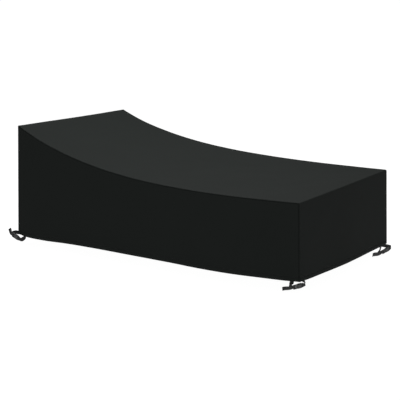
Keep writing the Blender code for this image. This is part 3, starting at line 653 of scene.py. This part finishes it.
def panel_place(panel, from_corner, end_or_side, height):
    """A point on the inner face of a hem: where it is, which way the hem runs there, up, and out."""
    if panel in SIDE_SIGN:
        total = LENGTH
        share = from_corner / total if end_or_side == "head" else 1 - from_corner / total
        out = np.array([0, SIDE_SIGN[panel], 0])
        top = top_point(share * LENGTH, 0.0 if panel == "right" else 1.0)
    else:
        total = WIDTH_HEAD
        share = from_corner / total if end_or_side == "right" else 1 - from_corner / total
        out = np.array([END_SIGN[panel], 0, 0])
        top = top_point(0.0 if panel == "head" else LENGTH, share)
    low = hem_point(panel, share)
    along = unit(hem_point(panel, share + 0.006) - hem_point(panel, share - 0.006))
    slack = through(HEM[panel], "share", "out", share)
    tall = np.linalg.norm(top - low)
    h = HEM_BAND / tall
    upper = mix(low, top, h) - out * slack * 0.35 * sin(pi * h) * (1 - h)
    up = unit(upper - low)
    face = np.cross(along, up)
    face = unit(face * np.sign(face @ out))
    return low + up * height, along, up, face


def bezier(p0, p1, p2, p3, n):
    t = np.linspace(0, 1, n + 1)[:, None]
    return (1 - t) ** 3 * p0 + 3 * t * (1 - t) ** 2 * p1 + 3 * t * t * (1 - t) * p2 + t ** 3 * p3


def rounded(corners, steps=3):
    """A path in the buckle's l-n plane with its corners turned on small arcs. Rows: l, n, radius (in mm)."""
    pts = [np.array(c[:2], float) for c in corners]
    out = [pts[0]]
    for k in range(1, len(pts) - 1):
        r = corners[k][2]
        a, b = unit(pts[k - 1] - pts[k]), unit(pts[k + 1] - pts[k])
        half = np.arccos(np.clip(a @ b, -1, 1)) / 2
        if r <= 0 or half > 1.5:
            out.append(pts[k])
            continue
        back = r / np.tan(half)
        start, finish = pts[k] + a * back, pts[k] + b * back
        centre = pts[k] + unit(a + b) * r / np.sin(half)
        for s in range(steps + 1):
            t = s / steps
            ang0 = np.arctan2(*(start - centre)[::-1])
            ang1 = np.arctan2(*(finish - centre)[::-1])
            turn = (ang1 - ang0 + pi) % (2 * pi) - pi
            ang = ang0 + turn * t
            out.append(centre + r * np.array([cos(ang), sin(ang)]))
    out.append(pts[-1])
    return np.array(out) * 0.001


class Buckle:
    """Where a buckle is, and which way its three directions point."""

    def __init__(self, end, side, row):
        self.l = np.array([cos(radians(row["azimuth"])) * cos(radians(row["rise"])),
                           sin(radians(row["azimuth"])) * cos(radians(row["rise"])), sin(radians(row["rise"]))])
        outward = np.array([END_SIGN[end], SIDE_SIGN[side], 0.0])
        flat = unit(np.cross(self.l, [0, 0, 1]))
        flat *= np.sign(flat @ outward)
        up = unit(np.cross(flat, self.l))
        up *= np.sign(up[2])
        tilt = radians(row["face"])
        self.n = unit(cos(tilt) * flat + sin(tilt) * up)
        self.v = np.cross(self.n, self.l)
        self.middle = hem_corner(end, side) + np.array([row["x"], row["y"], row["z"]])
        # l = 0 is the socket's mouth; the middle of the closed buckle is 5 mm inside it
        self.origin = self.middle - self.l * (SOCKET_LENGTH - PLUG_REACH) / 2

    def at(self, l, v, n):
        return self.origin + self.l * l + self.v * v + self.n * n

    def path(self, pts):
        return np.array([self.at(p[0], 0, p[1]) for p in pts])

    def matrix(self):
        m = Matrix((self.l, self.v, self.n)).transposed().to_4x4()
        m.translation = Vector(self.origin)
        return m


def directions(points):
    step = np.diff(points, axis=0)
    step = step / np.linalg.norm(step, axis=1)[:, None]
    t = np.vstack([step[:1], step[:-1] + step[1:], step[-1:]])
    return t / np.linalg.norm(t, axis=1)[:, None]


def carried(points, first, last, begin=0.0, finish=1.0):
    """Width directions along a free stretch: carried without twist from the first one, and turned to meet the last
    one between two shares of the length."""
    t = directions(points)
    side = [unit(first - t[0] * (first @ t[0]))]
    for k in range(1, len(points)):
        side.append(unit(side[-1] - t[k] * (side[-1] @ t[k])))
    goal = unit(last - t[-1] * (last @ t[-1]))
    if goal @ side[-1] < 0:
        goal = -goal
    turn = np.arctan2(np.cross(side[-1], goal) @ t[-1], side[-1] @ goal)
    run = np.concatenate([[0], np.cumsum(np.linalg.norm(np.diff(points, axis=0), axis=1))])
    share = np.clip((run / run[-1] - begin) / (finish - begin), 0, 1)
    angle = turn * ease(share)
    return np.array([cos(a) * w + sin(a) * np.cross(d, w) for a, w, d in zip(angle, side, t)])


def cornered(points, radii):
    """A line of straight stretches with its corners rounded; also the shares where its longest straight one lies."""
    out, straight = [points[0]], []
    for k in range(1, len(points) - 1):
        a, b = unit(points[k - 1] - points[k]), unit(points[k + 1] - points[k])
        bend = pi - np.arccos(np.clip(a @ b, -1, 1))
        r = radii[k - 1]
        back = r * np.tan(bend / 2)
        room = min(np.linalg.norm(points[k - 1] - points[k]), np.linalg.norm(points[k + 1] - points[k]))
        if k > 1:
            room = min(room, np.linalg.norm(points[k] - out[-1]))
        wanted = min(max(back, 0.8 * min(room, 0.006)), 0.92 * room)      # a slight corner is turned more widely
        r = wanted / np.tan(max(bend, 0.01) / 2)
        back = wanted
        start, finish = points[k] + a * back, points[k] + b * back
        if bend < 0.03:
            out.append(points[k])
            continue
        centre = points[k] + unit(a + b) * r / cos(bend / 2)
        count = max(2, int(np.ceil(bend / 0.27)))
        straight.append((out[-1], start, len(out) - 1))
        radial, ahead = unit(start - centre), -a
        out += [centre + r * (cos(bend * s / count) * radial + sin(bend * s / count) * ahead)
                for s in range(count + 1)]
    straight.append((out[-1], points[-1], len(out) - 1))
    out.append(points[-1])
    longest = max(straight, key=lambda q: np.linalg.norm(q[1] - q[0]))
    at = longest[2]
    count = max(2, int(round(np.linalg.norm(longest[1] - longest[0]) / WEB_STEP)))
    between = [mix(longest[0], longest[1], s / count) for s in range(1, count)]
    out = np.array(out[:at + 1] + between + out[at + 1:])
    run = np.concatenate([[0], np.cumsum(np.linalg.norm(np.diff(out, axis=0), axis=1))])
    return out, run[at] / run[-1], run[at + count] / run[-1]


def strap_from_hem(panel, where, corner_side, buckle, corner, hang, via, exit_point, leaving, turn):
    """The tab behind the hem, then the free stretch to the buckle. Width directions come with it."""
    inner = HEM_THICK + TAB_AIR + WEB_THICK / 2
    top, along, up, face = panel_place(panel, where, corner_side, TAB)
    edge = panel_place(panel, where, corner_side, 0.0)[0] - face * inner
    tops = top - face * inner
    reach, radius = turn
    points = [edge, edge - up * hang[0]] + [corner + np.array(v[:3]) for v in via]
    points += [exit_point + leaving * reach, exit_point]
    free, begin, finish = cornered(points, [hang[1]] + [v[3] for v in via] + [radius])
    sides = carried(free, along, buckle.v, begin, finish)
    return np.vstack([tops[None], free]), np.vstack([[along], sides])


def strap_set(end, side, row):
    tag = end + "_" + side
    b = Buckle(end, side, row)
    plug_panel, plug_where = (side, row["at_side"]) if row["plug_on"] == "side" else (end, row["at_end"])
    sock_panel, sock_where = (end, row["at_end"]) if row["plug_on"] == "side" else (side, row["at_side"])

    def corner_of(panel):
        return end if panel in SIDE_SIGN else side

    # adjustable strap: hem, under the ladder, over its bar, back between the ladder's lip and itself, free tail
    ladder = rounded([(-25.2, -3.1, 0), (-9.8, -3.1, 1.5), (-9.8, 2.9, 1.5), (-17.2, 2.9, 1.5), (-17.2, -1.3, 1.3),
                      (-23.6, -1.3, 5.0), (-27.2, -0.4, 0)])
    threaded = b.path(ladder)
    corner = hem_corner(end, side)
    pts, sides = strap_from_hem(plug_panel, plug_where, corner_of(plug_panel), b, corner, row["plug_hang"],
                                row.get("plug_via", []), threaded[0], -b.l, row["plug_turn"])
    end_of_tail = threaded[-1] + np.array(row["tail"])
    reach = np.linalg.norm(row["tail"]) / 3
    droop = unit(np.array(row["tail"]) + np.array([0, 0, -0.012]))
    tail = bezier(threaded[-1], threaded[-1] + unit(threaded[-1] - threaded[-2]) * reach, end_of_tail - droop * reach, end_of_tail, 8)
    turned = cos(radians(row["twist"])) * b.v + sin(radians(row["twist"])) * b.n
    tail_sides = carried(tail, b.v, turned)
    v = sides[-1] if sides[-1] @ b.v > 0 else -sides[-1]
    flip = 1.0 if sides[-1] @ b.v > 0 else -1.0
    all_points = np.vstack([pts[:-1], threaded, tail[1:]])
    all_sides = np.vstack([sides[:-1], [b.v * flip] * len(threaded), tail_sides[1:] * flip])
    ribbon("strap_adjust_" + tag, all_points, all_sides)

    # fixed strap: hem, over the socket's bar, round it, and back along its own other face
    local = rounded([(37.0, -0.95, 0), (32.7, -3.65, 1.2), (25.7, -3.65, 1.5), (25.7, 3.65, 1.5), (32.7, 3.65, 1.2),
                     (37.0, 0.95, 0)])
    loop = b.path(local)
    pts, sides = strap_from_hem(sock_panel, sock_where, corner_of(sock_panel), b, corner, row["socket_hang"],
                                row.get("socket_via", []), loop[0], b.l, row["socket_turn"])
    flip = 1.0 if sides[-1] @ b.v > 0 else -1.0
    # the turned-back end is sewn to the strap and follows it for a short way
    tangents = directions(pts)
    under = []
    under_sides = []
    walked = 0.0
    last_n = b.n
    for k in range(len(pts) - 2, 0, -1):
        walked += np.linalg.norm(pts[k] - pts[k + 1])
        if walked > SEWN_BACK:
            break
        n = np.cross(tangents[k], sides[k])
        n *= np.sign(n @ last_n)
        last_n = n
        under.append(pts[k] + n * 0.0019)
        under_sides.append(sides[k])
    all_points = np.vstack([pts[:-1], loop] + ([under] if under else []))
    all_sides = np.vstack([sides[:-1], [b.v * flip] * len(loop)] + ([under_sides] if under else []))
    ribbon("strap_fixed_" + tag, all_points, all_sides)
    return b

WEBS = {}


def smooth_line(points, sides, step=0.0011):
    run = np.concatenate([[0], np.cumsum(np.linalg.norm(np.diff(points, axis=0), axis=1))])
    keep = np.concatenate([[True], np.diff(run) > 1e-5])
    points, sides, run = points[keep], sides[keep], run[keep]
    slope = np.gradient(points, run, axis=0)
    turn = np.gradient(sides, run, axis=0)
    count = int(round(run[-1] / step))
    at = np.linspace(0, run[-1], count + 1)
    i = np.clip(np.searchsorted(run, at, side="right") - 1, 0, len(run) - 2)
    h = run[i + 1] - run[i]
    t = ((at - run[i]) / h)[:, None]
    h = h[:, None]

    def cubic(v, s):
        return ((2 * t ** 3 - 3 * t ** 2 + 1) * v[i] + (t ** 3 - 2 * t ** 2 + t) * h * s[i]
                + (3 * t ** 2 - 2 * t ** 3) * v[i + 1] + (t ** 3 - t ** 2) * h * s[i + 1])

    return cubic(points, slope), cubic(sides, turn), run[-1]


def ribbon(name, points, sides):
    """Woven webbing: rounded edges, and a slightly ribbed face."""
    points, sides, length = smooth_line(np.asarray(points), np.asarray(sides))
    t = directions(points)
    s = sides - t * (sides * t).sum(1)[:, None]
    s /= np.linalg.norm(s, axis=1)[:, None]
    n = np.cross(t, s)
    half, thick = WEB_WIDTH / 2, WEB_THICK / 2
    across = np.array([-1, -0.985, -0.95, -0.86, -0.7, -0.5, -0.25, 0, 0.25, 0.5, 0.7, 0.86, 0.95, 0.985, 1])
    face = thick * np.array([0.30, 0.72, 0.96, 1.0, 0.93, 0.92, 0.93, 0.94, 0.93, 0.92, 0.93, 1.0, 0.96, 0.72, 0.30])
    upper = [(a * half, f) for a, f in zip(across, face)]
    lower = [(a * half, -f) for a, f in zip(across[::-1], face[::-1])]
    section = upper + lower
    verts = []
    for w, h in section:
        verts.append(points + s * w + n * h)
    verts = np.stack(verts, 1)
    k = len(section)
    rows = len(points)
    index = np.arange(rows * k).reshape(rows, k)
    a, b = index[:-1], index[1:]
    quads = np.stack([a, np.roll(a, -1, 1), np.roll(b, -1, 1), b], -1).reshape(-1, 4)
    faces = [tuple(f) for f in quads] + [tuple(index[0, ::-1]), tuple(index[-1])]
    mesh = bpy.data.meshes.new(name)
    mesh.from_pydata([tuple(v) for v in (verts.reshape(-1, 3) + SHIFT)], [], faces)
    layer = mesh.uv_layers.new(name="cloth")
    run = np.concatenate([[0], np.cumsum(np.linalg.norm(np.diff(points, axis=0), axis=1))])
    wide = np.array([w for w, h in section])
    uv = np.stack([np.broadcast_to(run[:, None], (rows, k)), np.broadcast_to(wide, (rows, k))], -1).reshape(-1, 2)
    loops = np.empty(len(mesh.loops), np.int32)
    mesh.loops.foreach_get("vertex_index", loops)
    layer.data.foreach_set("uv", uv[loops].ravel().astype(np.float32))
    mesh.shade_smooth()
    bm = bmesh.new()
    bm.from_mesh(mesh)
    if bm.calc_volume(signed=True) < 0:
        bmesh.ops.reverse_faces(bm, faces=bm.faces[:])
        bm.to_mesh(mesh)
    bm.free()
    obj = bpy.data.objects.new("webbing_" + name[6:], mesh)
    bpy.context.scene.collection.objects.link(obj)
    WEBS[name] = (obj, float(length))
    return obj

# ---------------------------------------------------------------- the buckle's two plastic halves


def block(low, high, bevel=0.0, segments=1, taper=0.0):
    """A rounded block between two corners (mm), as a temporary object."""
    bm = bmesh.new()
    bmesh.ops.create_cube(bm, size=1.0)
    low, high = np.array(low) * 0.001, np.array(high) * 0.001
    for v in bm.verts:
        c = np.array(v.co)
        p = (low + high) / 2 + c * (high - low)
        if taper and c[0] > 0:
            p[1] = (low[1] + high[1]) / 2 + (p[1] - (low[1] + high[1]) / 2) * (1 - taper)
        v.co = Vector(p)
    if bevel:
        bmesh.ops.bevel(bm, geom=bm.edges[:], offset=bevel * 0.001, segments=segments, profile=0.5,
                        affect="EDGES", clamp_overlap=True)
    mesh = bpy.data.meshes.new("block")
    bm.to_mesh(mesh)
    bm.free()
    obj = bpy.data.objects.new("block", mesh)
    bpy.context.scene.collection.objects.link(obj)
    return obj


def outline(points, low, high, bevel=0.5):
    """A flat outline (mm, in l and v) given a height from low to high, its rims rounded, as a temporary object."""
    bm = bmesh.new()
    ring = [bm.verts.new((p[0] * 0.001, p[1] * 0.001, low * 0.001)) for p in points]
    face = bm.faces.new(ring)
    grown = bmesh.ops.extrude_face_region(bm, geom=[face])
    for g in grown["geom"]:
        if isinstance(g, bmesh.types.BMVert):
            g.co.z = high * 0.001
    bmesh.ops.recalc_face_normals(bm, faces=bm.faces[:])
    rims = [e for e in bm.edges if abs(e.verts[0].co.z - e.verts[1].co.z) < 1e-7]
    bmesh.ops.bevel(bm, geom=rims, offset=bevel * 0.001, segments=2, profile=0.5, affect="EDGES", clamp_overlap=True)
    mesh = bpy.data.meshes.new("outline")
    bm.to_mesh(mesh)
    bm.free()
    obj = bpy.data.objects.new("outline", mesh)
    bpy.context.scene.collection.objects.link(obj)
    return obj


def smooth_outline(points, per=4):
    """More points on a closed outline, so its corners are round."""
    p = np.array(points, float)
    out = []
    n = len(p)
    for k in range(n):
        a, b, c, d = p[k - 1], p[k], p[(k + 1) % n], p[(k + 2) % n]
        for s in range(per):
            t = s / per
            m0, m1 = (c - a) * 0.35, (d - b) * 0.35
            out.append((2 * t ** 3 - 3 * t ** 2 + 1) * b + (t ** 3 - 2 * t ** 2 + t) * m0
                       + (3 * t ** 2 - 2 * t ** 3) * c + (t ** 3 - t ** 2) * m1)
    return [tuple(q) for q in out]


def combined(base, added, cut):
    """The base with pieces joined on and others cut away, as one mesh. The helpers are removed."""
    for operation, group in (("UNION", added), ("DIFFERENCE", cut)):
        for other in group:
            m = base.modifiers.new(operation.title(), "BOOLEAN")
            m.operation = operation
            m.solver = "EXACT"
            m.object = other
    bpy.context.view_layer.update()
    graph = bpy.context.evaluated_depsgraph_get()
    mesh = bpy.data.meshes.new_from_object(base.evaluated_get(graph))
    for other in [base] + added + cut:
        bpy.data.objects.remove(other, do_unlink=True)
    bm = bmesh.new()
    bm.from_mesh(mesh)
    bmesh.ops.dissolve_degenerate(bm, dist=1e-6, edges=bm.edges[:])
    bm.to_mesh(mesh)
    bm.free()
    return mesh


def socket_mesh():
    """The socket: a shallow hollow body with a window in each side for the plug's arms, and a bar for the strap."""
    half = SOCKET_WIDTH * 500
    thick = SOCKET_THICK * 500
    shell = block((0.0, -half, -thick), (28.5, half, thick), 2.2, 5, taper=0.04)
    tail = block((25.0, -15.6, -2.6), (36.0, 15.6, 2.6), 1.2, 4)
    cavity = block((-1.0, -13.4, -3.0), (23.5, 13.4, 3.0), 0.4, 2)
    windows = [block((7.5, s * 16.9 - 4.2, -3.3), (19.5, s * 16.9 + 4.2, 3.3), 1.0, 3) for s in (-1, 1)]
    slot = block((27.7, -13.2, -9.0), (31.6, 13.2, 9.0), 0.6, 2)
    relief = [block((25.9, -13.2, z - 3.0), (28.2, 13.2, z + 3.0)) for z in (-5.2, 5.2)]
    grips = [block((l - 0.35, -7.5, s * thick - 0.3), (l + 0.35, 7.5, s * thick + 0.3)) for s in (1,)
             for l in (3.2, 4.8)]
    return combined(shell, [tail], [cavity] + windows + [slot] + relief + grips)


def plug_mesh():
    """The plug: a ladder for the webbing, a shoulder, a middle guide, and two springy arms with thumb heads."""
    shoulder = block((-8.6, -15.9, -3.1), (-0.3, 15.9, 3.1), 1.0, 4)
    rails = [block((-26.0, s * 14.9 - 1.5, -2.0), (-5.0, s * 14.9 + 1.5, 3.3), 0.7, 3) for s in (-1, 1)]
    bar = block((-17.5, -14.6, -1.2), (-13.5, 14.6, 1.8), 0.8, 3)
    lip = block((-26.4, -14.7, -0.2), (-22.0, 14.7, 3.8), 0.9, 3)
    guide = block((-3.0, -2.0, -1.6), (19.5, 2.0, 1.6), 0.6, 3)
    arms = []
    for s in (-1, 1):
        shape = [(-3.0, 8.2), (-3.0, 11.0), (4.0, 12.6), (8.2, 12.8), (8.6, 16.3), (11.5, 17.0), (15.0, 16.2),
                 (18.6, 13.4), (21.6, 11.4), (22.4, 10.0), (21.6, 8.8), (18.0, 9.0), (12.0, 10.0), (5.0, 9.4)]
        shape = smooth_outline([(l, s * v) for l, v in shape])
        arms.append(outline(shape if s < 0 else shape[::-1], -2.3, 2.3))
    return combined(shoulder, rails + [bar, lip, guide] + arms, [])


FINE = {}


def make_buckle(look):
    for kind, mesh in (("socket", socket_mesh()), ("plug", plug_mesh())):
        mesh.materials.clear()
        mesh.materials.append(look)
        for vertex in mesh.vertices:
            vertex.co.x *= SHORTEN
        mesh.shade_smooth()
        mesh.set_sharp_from_angle(angle=radians(35))
        FINE[kind] = mesh

# ---------------------------------------------------------------- materials


def finish_of(name):
    m = bpy.data.materials.new(name)
    m.use_nodes = True
    return m, m.node_tree.nodes, m.node_tree.links, m.node_tree.nodes["Principled BSDF"]


def put(shader, **values):
    names = {"base": "Base Color", "rough": "Roughness", "metal": "Metallic", "spec": "Specular IOR Level",
             "sheen": "Sheen Weight", "sheen_rough": "Sheen Roughness", "coat": "Coat Weight", "ior": "IOR",
             "emit": "Emission Color", "glow": "Emission Strength"}
    for key, value in values.items():
        shader.inputs[names[key]].default_value = value


def cloth_finish():
    """Coated woven cloth: matte, with a fine plain weave and slight cloudiness."""
    m, nodes, links, shader = finish_of("cover_cloth")
    put(shader, base=(*CLOTH_TINT, 1), rough=0.86, spec=CLOTH_SPEC, sheen=0.0)
    place_at = nodes.new("ShaderNodeTexCoord")
    cloud = nodes.new("ShaderNodeTexNoise")
    cloud.inputs["Scale"].default_value = 2.6
    cloud.inputs["Detail"].default_value = 4.0
    links.new(place_at.outputs["Object"], cloud.inputs["Vector"])
    ramp = nodes.new("ShaderNodeMapRange")
    ramp.inputs["To Min"].default_value = 0.93
    ramp.inputs["To Max"].default_value = 1.07
    links.new(cloud.outputs["Fac"], ramp.inputs["Value"])
    fleck = nodes.new("ShaderNodeTexNoise")
    fleck.inputs["Scale"].default_value = 210.0
    fleck.inputs["Detail"].default_value = 3.0
    links.new(place_at.outputs["Object"], fleck.inputs["Vector"])
    ramp2 = nodes.new("ShaderNodeMapRange")
    ramp2.inputs["To Min"].default_value = 0.84
    ramp2.inputs["To Max"].default_value = 1.16
    links.new(fleck.outputs["Fac"], ramp2.inputs["Value"])
    both = nodes.new("ShaderNodeMath")
    both.operation = "MULTIPLY"
    links.new(ramp.outputs["Result"], both.inputs[0])
    links.new(ramp2.outputs["Result"], both.inputs[1])
    tint = nodes.new("ShaderNodeVectorMath")
    tint.operation = "SCALE"
    tint.inputs[0].default_value = CLOTH_TINT
    links.new(both.outputs[0], tint.inputs["Scale"])
    links.new(tint.outputs["Vector"], shader.inputs["Base Color"])
    # plain weave, one thread each 0.45 mm, from the cloth's own coordinates
    uv = nodes.new("ShaderNodeUVMap")
    uv.uv_map = "cloth"
    split = nodes.new("ShaderNodeSeparateXYZ")
    links.new(uv.outputs["UV"], split.inputs[0])
    waves = []
    for axis in ("X", "Y"):
        scaled = nodes.new("ShaderNodeMath")
        scaled.operation = "MULTIPLY"
        scaled.inputs[1].default_value = 2 * pi / 0.0009
        links.new(split.outputs[axis], scaled.inputs[0])
        wave = nodes.new("ShaderNodeMath")
        wave.operation = "SINE"
        links.new(scaled.outputs[0], wave.inputs[0])
        waves.append(wave)
    weave = nodes.new("ShaderNodeMath")
    weave.operation = "MULTIPLY"
    links.new(waves[0].outputs[0], weave.inputs[0])
    links.new(waves[1].outputs[0], weave.inputs[1])
    bump = nodes.new("ShaderNodeBump")
    bump.inputs["Strength"].default_value = 0.25
    bump.inputs["Distance"].default_value = 0.00008
    links.new(weave.outputs[0], bump.inputs["Height"])
    links.new(bump.outputs["Normal"], shader.inputs["Normal"])
    return m


def webbing_finish():
    """Webbing with a raised herringbone weave."""
    m, nodes, links, shader = finish_of("webbing")
    put(shader, base=(*WEBBING, 1), rough=0.62, spec=WEBBING_SPEC, sheen=0.0)
    uv = nodes.new("ShaderNodeUVMap")
    uv.uv_map = "cloth"
    split = nodes.new("ShaderNodeSeparateXYZ")
    links.new(uv.outputs["UV"], split.inputs[0])
    # zigzag: distance across, folded every 6 mm, added to the distance along
    fold = nodes.new("ShaderNodeMath")
    fold.operation = "PINGPONG"
    fold.inputs[1].default_value = 0.0031
    shifted = nodes.new("ShaderNodeMath")
    shifted.operation = "ADD"
    shifted.inputs[1].default_value = 0.0125
    links.new(split.outputs["Y"], shifted.inputs[0])
    links.new(shifted.outputs[0], fold.inputs[0])
    total = nodes.new("ShaderNodeMath")
    total.operation = "ADD"
    links.new(split.outputs["X"], total.inputs[0])
    links.new(fold.outputs[0], total.inputs[1])
    scaled = nodes.new("ShaderNodeMath")
    scaled.operation = "MULTIPLY"
    scaled.inputs[1].default_value = 2 * pi / 0.0016
    links.new(total.outputs[0], scaled.inputs[0])
    wave = nodes.new("ShaderNodeMath")
    wave.operation = "SINE"
    links.new(scaled.outputs[0], wave.inputs[0])
    bump = nodes.new("ShaderNodeBump")
    bump.inputs["Strength"].default_value = 0.8
    bump.inputs["Distance"].default_value = 0.00025
    links.new(wave.outputs[0], bump.inputs["Height"])
    links.new(bump.outputs["Normal"], shader.inputs["Normal"])
    # painted shade and highlight: the base colour follows the weave's bump wave, darker in its grooves and lighter
    # on its ridges
    painted_weave_shade = nodes.new("ShaderNodeMapRange")
    painted_weave_shade.inputs["From Min"].default_value = -1.0
    painted_weave_shade.inputs["To Min"].default_value = 0.75
    painted_weave_shade.inputs["To Max"].default_value = 1.25
    links.new(wave.outputs[0], painted_weave_shade.inputs["Value"])
    tint = nodes.new("ShaderNodeVectorMath")
    tint.operation = "SCALE"
    tint.inputs[0].default_value = WEBBING
    links.new(painted_weave_shade.outputs["Result"], tint.inputs["Scale"])
    links.new(tint.outputs["Vector"], shader.inputs["Base Color"])
    return m


def plastic_finish():
    """Moulded plastic with a fine grain."""
    m, nodes, links, shader = finish_of("buckle_plastic")
    put(shader, base=(*PLASTIC, 1), rough=0.42, spec=PLASTIC_SPEC)
    place_at = nodes.new("ShaderNodeTexCoord")
    grain = nodes.new("ShaderNodeTexNoise")
    grain.inputs["Scale"].default_value = 900.0
    grain.inputs["Detail"].default_value = 2.0
    links.new(place_at.outputs["Object"], grain.inputs["Vector"])
    bump = nodes.new("ShaderNodeBump")
    bump.inputs["Strength"].default_value = 0.25
    bump.inputs["Distance"].default_value = 0.00006
    links.new(grain.outputs["Fac"], bump.inputs["Height"])
    links.new(bump.outputs["Normal"], shader.inputs["Normal"])
    rough = nodes.new("ShaderNodeMapRange")
    rough.inputs["To Min"].default_value = 0.36
    rough.inputs["To Max"].default_value = 0.50
    links.new(grain.outputs["Fac"], rough.inputs["Value"])
    links.new(rough.outputs["Result"], shader.inputs["Roughness"])
    return m


def thread_finish():
    m, nodes, links, shader = finish_of("thread")
    put(shader, base=(*THREAD, 1), rough=0.7, spec=0.2)
    place_at = nodes.new("ShaderNodeTexCoord")
    twist = nodes.new("ShaderNodeTexNoise")
    twist.inputs["Scale"].default_value = 1500.0
    links.new(place_at.outputs["Object"], twist.inputs["Vector"])
    bump = nodes.new("ShaderNodeBump")
    bump.inputs["Strength"].default_value = 0.3
    bump.inputs["Distance"].default_value = 0.00005
    links.new(twist.outputs["Fac"], bump.inputs["Height"])
    links.new(bump.outputs["Normal"], shader.inputs["Normal"])
    return m


def floor_finish():
    """A pale studio floor, evenly lit from below as a light table is."""
    m, nodes, links, shader = finish_of("floor")
    put(shader, base=(*FLOOR, 1), rough=0.9, spec=0.0, emit=(1, 1, 1, 1), glow=FLOOR_GLOW)
    return m

# ---------------------------------------------------------------- build

LOOK = dict(
    cloth=(0.0079, 0.0095, 0.00866), cloth_spec=0.09, web=(0.0105, 0.0110, 0.0112), web_spec=0.25,
    plastic=(0.0110, 0.0114, 0.0118), plastic_spec=0.42, thread=(0.020, 0.021, 0.0205),
    floor=0.12, glow=0.985, world=0.30, area=2.75,
)
CLOTH_TINT, CLOTH_SPEC = LOOK["cloth"], LOOK["cloth_spec"]
WEBBING, WEBBING_SPEC = LOOK["web"], LOOK["web_spec"]
PLASTIC, PLASTIC_SPEC = LOOK["plastic"], LOOK["plastic_spec"]
THREAD = LOOK["thread"]
FLOOR, FLOOR_GLOW = (LOOK["floor"],) * 3, LOOK["glow"]

cloth_look, web_look, plastic_look, thread_look, floor_look = (
    cloth_finish(), webbing_finish(), plastic_finish(), thread_finish(), floor_finish())


def dress(obj, look):
    obj.data.materials.clear()
    obj.data.materials.append(look)
    return obj


def belongs(obj, slot, *nodes):
    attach(obj, "root")
    if nodes:
        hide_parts(*nodes)
    return obj


# the cloth
strip, strip_run, strip_width, seam_lines, strip_hems = body_strip_fine()
dress(strip, cloth_look)
belongs(strip, "cover_cloth", "body_strip")
strip_threads = stitches("stitching_strip", strip_hems + [seam_lines["right"], seam_lines["left"]])
dress(strip_threads, thread_look)
belongs(strip_threads, "cover_cloth")

for side in ("right", "left"):
    panel, tall, span, area, lines = side_panel_fine(side)
    dress(panel, cloth_look)
    belongs(panel, "cover_cloth", "side_panel_" + side)
    threads = stitches("stitching_side_" + side, lines)
    dress(threads, thread_look)
    belongs(threads, "cover_cloth")

# the buckles and their webbing
make_buckle(plastic_look)
for (end, side), row in SETS.items():
    buckle = strap_set(end, side, row)
    for kind in ("socket", "plug"):
        node = "buckle_" + kind + "_" + end + "_" + side
        obj = bpy.data.objects.new(kind + "_" + end + "_" + side, FINE[kind])
        bpy.context.scene.collection.objects.link(obj)
        obj.matrix_world = Matrix.Translation(Vector(ORIGIN_SHIFT)) @ buckle.matrix()
        belongs(obj, "buckle_plastic", node)
for node, (obj, length) in WEBS.items():
    dress(obj, web_look)
    belongs(obj, "webbing", node)

# ---------------------------------------------------------------- studio and camera

bm = bmesh.new()
bmesh.ops.create_grid(bm, x_segments=1, y_segments=1, size=60.0)
mesh = bpy.data.meshes.new("floor")
bm.to_mesh(mesh)
bm.free()
floor = bpy.data.objects.new("floor", mesh)
bpy.context.scene.collection.objects.link(floor)
dress(floor, floor_look)

world = bpy.data.worlds.new("studio")
bpy.context.scene.world = world
world.use_nodes = True
backdrop = world.node_tree.nodes["Background"]
backdrop.inputs["Color"].default_value = (1, 1, 1, 1)
backdrop.inputs["Strength"].default_value = LOOK["world"]


def lamp(name, place_at, aim, size, power, spread=None):
    light = bpy.data.lights.new(name, "AREA")
    light.shape = "RECTANGLE"
    light.size, light.size_y = size
    light.energy = power
    if spread:
        light.spread = radians(spread)
    obj = bpy.data.objects.new(name, light)
    bpy.context.scene.collection.objects.link(obj)
    obj.location = place_at
    obj.rotation_euler = (Vector(aim) - Vector(place_at)).to_track_quat("-Z", "Y").to_euler()
    return obj


lamp("overhead", (-0.3, 0.2, 3.4), (-0.3, 0.1, 0.5), (3.2, 2.4), 60.0 * LOOK["area"])
lamp("side_fill", (1.0, -3.3, 1.0), (0.8, -0.5, 0.3), (0.5, 0.5), 9.0)

camera = bpy.data.cameras.new("camera")
camera.sensor_width = 36.0
camera.lens = 108.18
camera.clip_end = 200.0
camera.dof.use_dof = False
eye = bpy.data.objects.new("camera", camera)
bpy.context.scene.collection.objects.link(eye)
YAW, PITCH = 2.15978, 0.21845
eye.location = (4.03411 + ORIGIN_SHIFT[0], -6.03832 + ORIGIN_SHIFT[1], 1.8602 + HEM_Z)
view = Vector((cos(PITCH) * cos(YAW), cos(PITCH) * sin(YAW), -sin(PITCH)))
eye.rotation_euler = view.to_track_quat("-Z", "Y").to_euler()
bpy.context.scene.camera = eye
bpy.context.scene.view_settings.view_transform = "Standard"
